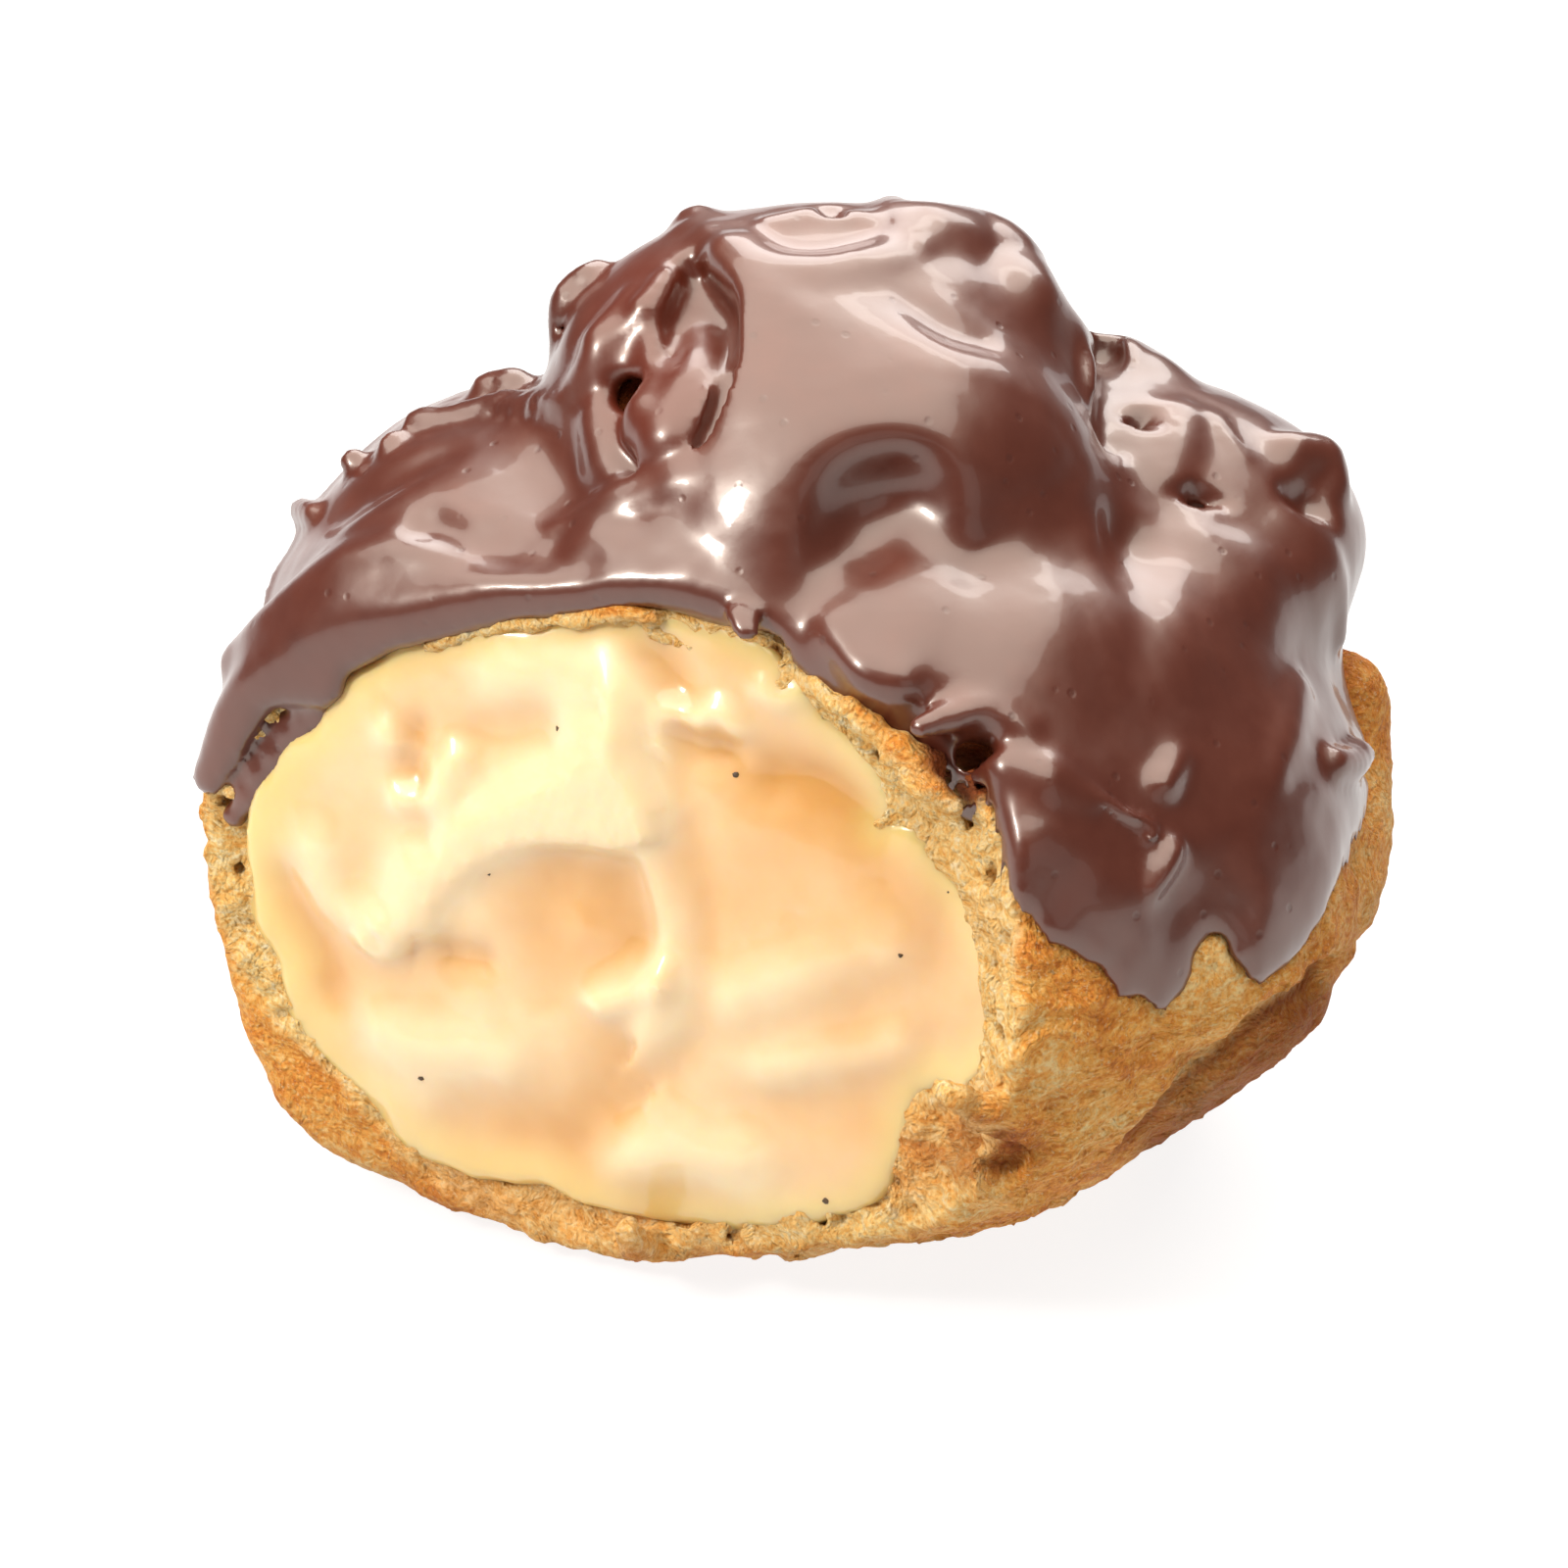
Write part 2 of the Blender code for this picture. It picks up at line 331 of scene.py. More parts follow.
def toPiece(name, points, quads, marks, finish, node=None):
    mesh = bpy.data.meshes.new(name)
    mesh.from_pydata((points + np.array(puff["stand"])) * mm, [], quads.tolist())
    for label, values in marks.items():
        mark = mesh.attributes.new(label, "FLOAT", "POINT")
        mark.data.foreach_set("value", np.ascontiguousarray(values, np.float32))
    mesh.shade_smooth()
    mesh.materials.append(finish)
    piece = bpy.data.objects.new(name, mesh)
    bpy.context.scene.collection.objects.link(piece)
    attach(piece, "root")
    if node:
        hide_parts(node)
    print(name, len(points), "points")
    return piece


class Sock:  # a node's output, which takes part in sums
    def __init__(self, paint, socket):
        self.paint, self.socket = paint, socket

    def sum(self, operation, other, flipped=False):
        pair = (other, self) if flipped else (self, other)
        return self.paint.add("Math", {"operation": operation}, {0: pair[0], 1: pair[1]})

    def __add__(self, other):
        return self.sum("ADD", other)

    def __radd__(self, other):
        return self.sum("ADD", other, True)

    def __sub__(self, other):
        return self.sum("SUBTRACT", other)

    def __rsub__(self, other):
        return self.sum("SUBTRACT", other, True)

    def __mul__(self, other):
        return self.sum("MULTIPLY", other)

    def __rmul__(self, other):
        return self.sum("MULTIPLY", other, True)


class Paint:
    def __init__(self, name, fixed):
        self.material = bpy.data.materials.new(name)
        self.material.use_nodes = True
        self.nodes = self.material.node_tree.nodes
        self.shader = self.nodes["Principled BSDF"]
        for socket, value in fixed.items():
            self.shader.inputs[socket].default_value = value

    def add(self, kind, settings=None, sockets=None, out=0):
        node = self.nodes.new("ShaderNode" + kind)
        for key, value in (settings or {}).items():
            if key == "stops":
                self.ramp(node.color_ramp, value)
            else:
                setattr(node, key, value)
        for key, value in (sockets or {}).items():
            self.plug(node.inputs[key], value)
        return Sock(self, node.outputs[out])

    def ramp(self, ramp, stops):
        while len(ramp.elements) < len(stops):
            ramp.elements.new(0.5)
        for element, (place, colour) in zip(ramp.elements, stops):
            element.position = place
            element.color = (*colour, 1.0) if len(colour) == 3 else colour

    def plug(self, socket, value):
        if isinstance(value, Sock):
            self.material.node_tree.links.new(value.socket, socket)
        else:
            socket.default_value = value

    def into(self, socket, value):
        self.plug(self.shader.inputs[socket], value)

    def mark(self, label):  # what the mesh says of each of its points
        return self.add("Attribute", {"attribute_name": label}, out="Fac")

    def where(self):  # object coordinates in mm
        place = self.add("TexCoord", out="Object")
        return self.add("VectorMath", {"operation": "MULTIPLY"}, {0: place, 1: (1000.0, 1000.0, 1000.0)})

    def noise(self, place, scale, detail=3.0, rough=0.55):
        return self.add(
            "TexNoise", {}, {"Vector": place, "Scale": scale, "Detail": detail, "Roughness": rough}
        )

    def cells(self, place, scale, feature="F1"):
        return self.add(
            "TexVoronoi", {"feature": feature}, {"Vector": place, "Scale": scale}, out="Distance"
        )

    def ramped(self, value, stops):
        return self.add("ValToRGB", {"stops": stops}, {0: value}, out="Color")

    def spread(self, value, low, high):  # maps low..high to 0..1, held at the ends
        return self.add(
            "MapRange", {"interpolation_type": "SMOOTHSTEP"}, {0: value, 1: low, 2: high, 3: 0.0, 4: 1.0}
        )

    def mixed(self, share, a, b):  # from colour a to colour b
        a, b = [(*c, 1.0) if isinstance(c, tuple) and len(c) == 3 else c for c in (a, b)]
        return self.add("Mix", {"data_type": "RGBA"}, {0: share, 6: a, 7: b}, out=2)

    def bumps(self, heights):  # (height, distance in mm, strength) one over another
        normal = None
        for height, distance, strength in heights:
            sockets = {"Height": height, "Distance": distance * mm, "Strength": strength}
            if normal:
                sockets["Normal"] = normal
            normal = self.add("Bump", {}, sockets)
        self.into("Normal", normal)


print("shaping the dough")
doughAt = dough(gridX, gridY, gridZ)
biteAt = biteDepth(gridX, gridY, gridZ)
frontU, frontV = onFront(gridX, gridY, gridZ)
turnedBack = ease(-4.0, 5.0, -(
    (gridX - middle[0]) * lookOut[0] + (gridY - middle[1]) * lookOut[1] + (gridZ - middle[2]) * lookOut[2]
))  # 0 on the side seen in the front drawing, 1 behind

glaze = {
    "gap": 0.25,  # how far it sinks into the crust
    "thick": 2.4,
    "roundness": 1.5,
    "overhang": (  # place across the cut, how far it hangs in front
        (-46, 0.7), (-36, 0.9), (-29, 1.7), (-20, 1.8), (-8, 1.3), (4, 0.9), (16, 0.4), (30, 0.2),
    ),
    "bare": (  # where the front drawing shows no chocolate
        (-45.1, -0.5), (-37.3, -0.8), (-36.2, 1.4), (-35.5, 3.1), (-34.5, 4.6), (-33.2, 5.3),
        (-31.5, 5.2), (-30.2, 5.0), (-29.3, 6.1), (-29.0, 7.5), (-27.6, 8.3), (-26.1, 8.9),
        (-24.5, 9.5), (-22.2, 10.2), (-19.4, 10.8), (-15.9, 11.1), (-12.9, 11.5), (-8.8, 12.1),
        (-6.5, 11.8), (-4.0, 11.1), (-3.1, 10.7), (-2.3, 10.1), (-1.8, 10.8), (-0.5, 9.7), (1.0, 8.3),
        (3.2, 6.5), (5.2, 4.5), (6.8, 3.1), (8.9, 2.1), (10.3, 1.4), (11.1, 0.5), (10.4, -0.3),
        (11.5, -1.0), (10.7, -1.9), (11.6, -2.7), (11.0, -3.6), (11.9, -4.9), (12.5, -6.6),
        (14.8, -8.1), (16.4, -8.6), (17.7, -10.4), (19.4, -11.1), (21.3, -12.1), (22.1, -13.8),
        (23.5, -13.9), (25.0, -15.0), (25.9, -13.7), (26.7, -11.6), (27.6, -9.8), (28.3, -9.3),
        (29.2, -9.8), (29.8, -11.5), (31.2, -12.8), (32.9, -11.9), (34.4, -10.2), (35.5, -8.3),
        (36.6, -5.7), (37.4, -2.8), (38.1, 0.0), (37.5, 1.0), (38.6, 2.3), (38.0, 4.2), (37.7, 7.1),
        (37.5, 10.3), (45.1, 10.3), (45.1, -45.1), (-45.1, -45.1),
    ),
    "backEdge": (  # around the back: turn from the right, lowest height of the chocolate, degrees
        (-20, 12), (-6, 14), (4, 17), (12, 14), (20, 19), (30, 22), (38, 16), (48, 24), (62, 37),
        (74, 25), (84, 15), (92, 13), (101, 21), (112, 25), (121, 17), (129, 20), (138, 30),
        (149, 27), (156, 24), (163, 23), (170, 17), (176, 11), (184, 9), (200, 8),
    ),
    "dripWaves": 1.6,  # degrees that the edge at the back wavers by
    "sinks": 0.45,  # the edge runs in from the line drawn for it by this
    "edgeWaves": ((1.7, 0.22, 11), (4.0, 0.3, 12)),  # size, height and seed
    "swell": ((12.0, 0.6, 3), (5.0, 0.2, 4)),
    "skinWaves": ((2.2, 0.03, 21), (0.9, 0.012, 22)),
    # a grainy patch: its spot and half size, then the height, size and seed of its grains
    "sugar": ((-17.4, 25.0), (4.0, 1.3), (0.16, 0.7, 23)),
    "petal": ((-8.9, 28.0), (4.6, 8.0)),  # the thin part between the folds: spot and half size
    "pits": (  # holes that reach the crust: spots, size
        ((-10.8, 25.9), 1.3), ((-11.5, 26.3), 1.0), ((12.9, 3.2), 0.7), ((13.8, 3.0), 0.6),
    ),
    "folds": (  # what, spots on the front drawing, size, lift and softness; several sizes taper along the run
        # the crown's left side: the main bulge laps over a petal along a crease
        ("add", ((-6.5, 19.0), (-2.6, 18.4), (1.3, 18.4), (3.2, 19.4)),
         (5.0, 8.0, 8.0, 6.0), (-3.8, -6.2, -6.4, -5.2), 4.0),
        ("add", ((10.3, 21.3), (13.5, 20.6), (16.8, 20.6)), (5.0, 7.0, 5.0), (-4.0, -5.6, -4.2), 4.0),
        ("add", ((0.0, 23.2), (4.5, 22.6), (9.0, 22.9)), (6.0, 8.0, 6.0), (-5.2, -6.9, -5.4), 4.0),
        ("add", ((1.0, 18.1), (4.5, 19.6), (9.0, 20.6), (13.5, 20.8)),
         (6.0, 8.0, 8.0, 6.0), (-3.5, -5.0, -5.0, -3.7), 5.0),
        ("add", ((2.7, 18.3), (5.5, 19.0), (8.7, 19.0)), (5.0, 6.5, 5.0), (-3.7, -4.8, -3.8), 4.5),
        ("add", ((12.9, 21.3), (15.8, 19.0), (18.4, 16.8)), (6.0, 8.0, 6.0), (-4.4, -5.9, -4.6), 4.0),
        ("add", ((-3.1, 34.7), (-0.9, 31.1), (0.0, 26.8), (-1.3, 22.8), (-3.7, 20.3)),
         (3.0, 7.0, 8.0, 4.0), (-2.7, -6.1, -7.0, -3.4), 2.0),
        ("add", ((-6.5, 34.2), (-6.2, 31.0), (-6.2, 27.1)), 3.6, -4.2, 0.5),
        ("cut", ((-6.2, 34.3), (-5.9, 31.7), (-6.1, 28.6), (-6.7, 25.8)),
         (1.4, 3.0, 2.8, 1.2), (-0.8, -0.3, 0.2, 0.8), 0.8),
        ("add", ((-7.1, 32.2), (-6.7, 29.0), (-6.6, 25.5), (-7.2, 22.6)),
         (1.4, 2.3, 2.8, 2.4), (-4.2, -3.8, -2.0, -0.2), 0.6),
        ("add", ((-8.9, 26.8), (-8.9, 24.2), (-7.9, 22.1)), (1.4, 2.2, 1.8), (-1.6, -0.9, 0.0), 0.6),
        ("cut", ((-5.4, 35.1), (-4.7, 32.9), (-4.2, 31.1)), (0.9, 1.2, 0.5), (0.2, 0.3, 0.1), 0.8),
        ("cut", ((-5.7, 35.6), (-4.5, 33.0), (-3.7, 30.0), (-3.6, 26.8), (-4.5, 23.2), (-6.1, 20.3)),
         (0.4, 0.8, 0.8, 0.5), (0.0, 0.1, 0.2, 0.4, 1.0, 1.3), 0.4),
        ("add", ((-12.6, 34.1), (-14.2, 32.9), (-15.0, 31.0), (-15.1, 28.9)), (0.9, 1.2, 0.8), -0.5, 0.8),
        ("add", ((-12.9, 32.2), (-13.5, 31.0), (-13.8, 29.4)), 2.2, -1.9, 1.0),
        ("cut", ((-13.2, 32.8), (-14.2, 31.5), (-14.4, 29.7)), (0.25, 0.45, 0.25), 0.1, 0.3),
        ("add", ((-8.0, 33.5), (-9.3, 31.5), (-10.3, 30.3)), (0.8, 1.2, 0.8), -0.5, 0.8),
        ("add", ((-10.3, 32.2), (-11.7, 30.1), (-12.6, 28.3), (-13.9, 26.3)), (1.0, 1.8, 1.0), -0.8, 1.0),
        ("cut", ((-9.4, 30.3), (-10.3, 28.6), (-11.0, 26.8)), (0.5, 1.0, 1.3), 0.55, 0.9),
        ("add", ((-10.4, 22.7), (-9.7, 21.0), (-8.0, 20.3), (-6.5, 19.6)), (0.8, 1.1, 0.5), 0.0, 0.7),
        ("cut", ((-11.2, 23.5), (-10.7, 21.7), (-9.0, 19.7), (-7.1, 19.0)), (0.5, 0.9, 0.5), 0.4, 0.7),
        ("add", ((-12.9, 23.9), (-12.1, 21.3), (-10.3, 19.4)), (1.0, 1.4, 0.8), -0.9, 1.2),
        # tails that sweep away below the folds
        ("add", ((-6.1, 19.7), (-9.0, 18.6), (-12.1, 17.7), (-15.0, 17.0)),
         (1.3, 1.7, 0.6), (0.6, 0.0, -0.6), 1.0),
        ("add", ((-6.3, 19.5), (-4.0, 19.9), (-1.5, 21.9), (1.2, 23.5)),
         (1.2, 1.7, 0.9), (0.8, 0.2, -0.4), 1.3),
        # the long ridge that runs down the crown, and the shallow dish on top of it
        ("add", ((-5.7, 37.2), (-2.7, 33.4), (0.0, 31.1), (2.9, 28.5), (5.8, 25.8), (8.5, 23.5)),
         (1.0, 1.4, 1.2, 0.9), -0.75, 1.2),
        ("cut", ((0.6, 35.6), (2.6, 35.7), (4.6, 35.8)), (2.2, 2.8, 2.2), (2.0, 2.4, 2.0), 1.8),
        ("add", ((-3.2, 35.1), (-0.3, 33.7), (3.0, 33.8), (6.2, 34.7), (8.6, 35.7)),
         (1.4, 2.0, 1.8, 1.2), (-1.1, -1.5, -1.4, -1.0), 1.6),
        ("add", ((9.7, 36.4), (12.9, 35.6), (15.0, 34.1), (16.3, 32.2)),
         (2.6, 3.6, 2.4), (-0.9, -1.3, -0.9), 2.4),
        ("add", ((18.7, 29.7), (21.3, 28.6), (23.9, 27.5)), (2.4, 3.4, 2.4), (-1.6, -2.0, -1.6), 2.4),
        ("add", ((-0.9, 37.0), (1.9, 37.5), (5.4, 37.3)), (0.9, 1.1, 0.9), -0.6, 1.0),
        ("add", ((7.2, 37.8), (8.1, 36.4), (8.9, 35.2)), (1.3, 0.9, 0.6), -0.3, 1.0),
        ("cut", ((3.0, 37.9), (3.2, 37.5)), 0.8, 0.1, 0.5),
        ("add", ((-6.5, 36.4), (-6.1, 37.3), (-5.3, 37.0)), (0.9, 1.3, 1.0), -0.6, 1.3),
        ("cut", ((8.4, 31.6), (10.6, 30.0), (12.6, 29.2)), (1.2, 1.8, 1.0), (1.5, 2.0, 1.4), 1.6),
        # right of the crown
        ("add", ((17.3, 32.4), (18.6, 29.8), (19.9, 26.8), (20.2, 23.9)), (0.6, 0.9, 0.9, 0.3), 0.1, 0.4),
        ("cut", ((18.3, 33.2), (19.9, 30.3), (21.4, 26.8), (21.5, 22.6)), (0.7, 1.2, 1.0), 0.3, 1.5),
        ("cut", ((22.3, 24.7), (23.9, 24.1), (25.4, 23.3)), (0.5, 1.15, 0.5), 0.1, 0.3),
        ("cut", ((22.8, 24.4), (24.0, 24.0), (25.2, 23.5)), (0.3, 0.6, 0.3), -0.7, 0.3),
        ("cut", ((23.0, 24.3), (24.0, 23.9), (25.0, 23.5)), (0.3, 0.5, 0.3), -1.5, 0.3),
        ("cut", ((25.4, 19.4), (27.2, 19.2), (29.0, 18.7)), (0.5, 1.15, 0.5), 0.1, 0.3),
        ("cut", ((25.8, 19.3), (27.2, 19.1), (28.6, 18.8)), (0.3, 0.6, 0.3), -0.7, 0.3),
        ("cut", ((25.9, 19.2), (27.2, 19.0), (28.5, 18.8)), (0.3, 0.5, 0.3), -1.5, 0.3),
        ("add", ((26.2, 24.3), (26.0, 22.6), (25.4, 20.6)), (1.8, 1.4), -1.4, 1.4),
        ("add", ((28.4, 24.1), (29.3, 22.7), (30.3, 21.5)), (0.8, 0.6), -0.45, 0.6),
        ("add", ((33.4, 21.8), (35.2, 21.3), (36.2, 19.7)), (1.6, 1.9, 1.2), -0.2, 1.2),
        ("cut", ((33.4, 19.1), (34.6, 18.6), (35.5, 17.8)), (0.9, 1.4, 0.7), 0.2, 0.9),
        ("add", ((33.0, 17.4), (35.2, 15.6), (36.5, 12.9), (37.0, 9.7)), (0.8, 1.3, 0.8), -0.7, 1.0),
        ("add", ((34.1, 6.5), (33.2, 3.5), (32.4, 0.8)), (1.0, 1.6, 1.0), (-0.8, -1.2, -0.8), 1.2),
        ("add", ((36.5, 1.5), (37.7, 1.5), (38.3, 2.1)), 1.1, -0.5, 0.9),
        # the hollow left of the middle, with lit lumps on its right wall
        ("cut", ((6.8, 17.3), (6.3, 15.7), (5.4, 13.9), (4.6, 12.1)),
         (2.6, 3.8, 2.6), (3.4, 3.9, 2.4), 3.0),
        ("add", ((9.8, 17.4), (8.9, 14.7), (8.9, 12.3), (7.9, 9.7)),
         (2.2, 2.8, 2.0), (-1.6, -1.9, -1.4), 1.5),
        ("add", ((7.5, 7.0), (5.4, 7.9), (3.4, 10.3)), (1.4, 1.3, 0.7), -0.6, 1.4),
        ("add", ((13.5, 16.8), (16.1, 13.5), (16.9, 10.3)), (2.5, 3.2, 2.0), (-1.9, -2.4, -1.6), 2.0),
        ("cut", ((22.6, 15.5), (23.2, 11.6), (22.6, 8.4)), (1.6, 2.2, 1.4), 1.7, 2.2),
        ("add", ((27.7, 15.5), (30.3, 13.5), (31.6, 11.0)), (2.2, 2.6, 1.8), -1.8, 2.0),
        # the shoulder that hangs over the right front
        ("add", ((5.8, 11.6), (10.3, 10.2), (16.1, 9.5), (22.6, 10.2), (29.0, 11.7), (34.2, 12.9)),
         (3.0, 5.0, 5.6, 5.0, 4.0, 3.0), (-2.5, -4.4, -4.9, -4.4, -3.4, -2.5), 3.0),
        ("add", ((-31.6, 17.9), (-32.1, 18.1)), 1.0, -0.4, 0.8),
        # the brow over the cut
        ("add", ((-13.4, 15.5), (-11.7, 16.0), (-10.3, 15.6)), (1.4, 2.2, 1.4), (-0.9, -1.3, -0.9), 1.3),
        ("add", ((-8.8, 15.4), (-7.6, 15.9), (-5.9, 14.7)), (1.4, 2.2, 1.3), (-0.9, -1.2, -0.8), 1.3),
        ("add", ((-36.6, 8.5), (-31.6, 12.5), (-26.4, 14.8), (-21.3, 16.1)), (1.2, 2.1, 1.3), -0.8, 2.0),
        ("cut", ((-34.2, 15.5), (-28.4, 18.7), (-22.6, 21.3)), (1.4, 2.0, 1.0), 1.6, 2.0),
        ("cut", ((-23.2, 16.6), (-18.1, 15.4), (-13.5, 14.3)), (1.0, 1.5, 0.8), 1.1, 1.8),
        # right front: welts and the rim above the small pit
        ("add", ((9.0, 3.9), (11.1, 4.6), (13.5, 4.9), (15.9, 3.7)), (0.8, 1.2, 0.8), -0.35, 0.9),
        ("add", ((15.1, 1.5), (17.4, 0.5), (19.9, -0.8)), (1.0, 1.6, 0.8), -0.8, 1.3),
        ("add", ((26.1, 1.7), (25.2, 0.1)), (0.8, 1.0), -0.5, 0.8),
        ("add", ((25.8, -4.3), (25.2, -5.8), (24.6, -7.2)), (0.9, 0.8, 0.4), -0.45, 0.8),
        ("add", ((19.7, 8.5), (21.2, 7.0), (22.6, 7.5), (24.2, 5.5)), 0.4, -0.15, 0.3),
        ("add", ((25.5, 7.0), (26.2, 8.3), (27.6, 8.5)), 0.4, -0.15, 0.3),
        ("add", ((20.6, -0.5), (22.6, -1.9), (24.6, -2.8), (24.3, -3.5)), 0.35, -0.15, 0.3),
        # bumps along the left skyline
        ("add", ((-19.4, 26.1), (-17.9, 26.4)), 1.3, -0.2, 1.0),
        ("add", ((-24.2, 23.9), (-23.7, 24.1)), 1.1, -0.3, 0.9),
        ("add", ((-26.1, 22.3), (-25.8, 22.6)), 0.9, -0.2, 0.8),
        ("add", ((-28.6, 21.3), (-28.4, 21.5)), 0.8, -0.1, 0.8),
        ("add", ((-23.2, 24.1), (-18.7, 25.0), (-14.8, 25.0)), (0.9, 1.4, 0.8), -0.5, 0.9),
        # drips and threads at the edge of the cut
        ("add", ((-3.1, 11.5), (-2.8, 10.3)), (0.8, 0.5), -0.6, 0.5),
        ("add", ((-2.2, 11.4), (-2.1, 10.2)), (0.6, 0.45), -0.6, 0.4),
    ),
    # the hollow under the lip at the far left, on the front drawing
    "hollow": ((-35.5, 1.8), (-34.1, 3.7), (-32.2, 4.4), (-30.8, 4.1)),
    # the second edge inside it and what fills it, on the cut: spots, how far in front, size
    "innerEdge": ((-25.8, 32.9), (-27.4, 31.6), (-28.8, 29.5), (-30.6, 27.0), (-32.3, 24.2)),
    "innerFill": (
        (((-26.4, 32.4), (-28.2, 30.9), (-29.8, 28.8), (-31.3, 26.6)), -1.3, 1.7),
        (((-31.7, 28.3), (-30.1, 30.4), (-28.3, 31.7), (-26.7, 32.2)), -1.9, 1.9),
    ),
}

print("pouring the chocolate")
turn = np.degrees(np.arctan2(gridY, gridX))
turn = np.where(turn < -120.0, turn + 360.0, turn)
height = np.degrees(np.arctan2(gridZ - middle[2], np.hypot(gridX, gridY)))
turns = np.arange(-60.0, 260.0, 0.5)
backRun = np.interp(turns, *np.array(glaze["backEdge"], float).T)
backRun += glaze["dripWaves"] * np.sin(turns * 0.31) * np.sin(turns * 0.083 + 1.0)
weights = np.exp(-(np.arange(-16, 17) / 6.5) ** 2)  # rounds its corners
backRun = np.convolve(np.pad(backRun, 16, mode="edge"), weights / weights.sum(), mode="valid")
backEdge = np.interp(turn, turns, backRun)
spread = np.hypot(np.hypot(gridX, gridY), gridZ - middle[2])
belowBack = (backEdge - height) * spread * (pi / 180.0)

skin = np.abs(doughAt) < 5.0
belowFront = np.full(doughAt.shape, 3.0)
nearFront = skin & (turnedBack < 1.0)
belowFront[nearFront] = -outsideOf(glaze["bare"], frontU[nearFront], frontV[nearFront]) - glaze["sinks"]
below = belowFront * (1.0 - turnedBack) + belowBack * turnedBack
spots = np.nonzero(skin)
below[spots] += waves(placesOf(spots), glaze["edgeWaves"])
swell = np.zeros_like(doughAt)
swell[spots] = waves(placesOf(spots), glaze["swell"])

across = gridX * biteRight[0] + gridY * biteRight[1] + gridZ * biteRight[2]
overhang = np.interp(across, *np.array(glaze["overhang"], float).T)
bead = 0.4 * np.exp(-((below + 1.6) / 1.3) ** 2) * ease(6.0, -2.0, across)  # it gathers over the cut
thin = 1.25 * ease(-7.0, 0.0, below) * ease(2.0, 9.0, across) + 1.1 * ease(-26.0, -36.0, across)
outer = doughAt - glaze["thick"] - swell - bead + thin
solidBody = np.maximum(doughAt - glaze["gap"], biteAt - 0.1)
coatAt = trim(outer, below, glaze["roundness"])
coatAt = trim(coatAt, biteAt - overhang, 1.3)
coatAt = np.maximum(coatAt, -solidBody)
coatAt = np.maximum(coatAt, -(doughAt + 4.6))  # in front of the cut it hangs down only over the wall
chocolate = Clay(coatAt)

for what, path, size, lift, soft in glaze["folds"]:
    chocolate.drawn(path, size, lift, soft, carve=what == "cut")
for spot, size in glaze["pits"]:
    well = np.vstack([onSurface([spot], 2.0), onSurface([spot], -4.0)])
    chocolate.rope(well, (size, size * 0.8), 0.7, carve=True)
chocolate.rope(onSurface(threaded(glaze["hollow"]), 0.6, 1.2), 1.2, 0.8, carve=True)
innerEdge = alongCut(glaze["innerEdge"], -0.4)
chocolate.rope(innerEdge, 0.9 + 0.3 * np.sin(np.arange(len(innerEdge)) * 1.9), 0.5)
for path, ahead, size in glaze["innerFill"]:
    chocolate.rope(alongCut(path, ahead), size, 0.5)

coatPoints, coatQuads = chocolate.mesh(smooth=4)
facing = normalsOf(coatPoints, coatQuads)
sugarAt, sugarHalf, (sugarTall, sugarSize, sugarSeed) = glaze["sugar"]
sugar = np.exp(-awayFrom(coatPoints, sugarAt, sugarHalf) ** 2) * sugarTall
fine = waves(coatPoints, glaze["skinWaves"]) + sugar * lumps(coatPoints, sugarSize, sugarSeed)
coatPoints = coatPoints + facing * fine[:, None]
petalMark = ease(1.2, 0.7, awayFrom(coatPoints, *glaze["petal"]))

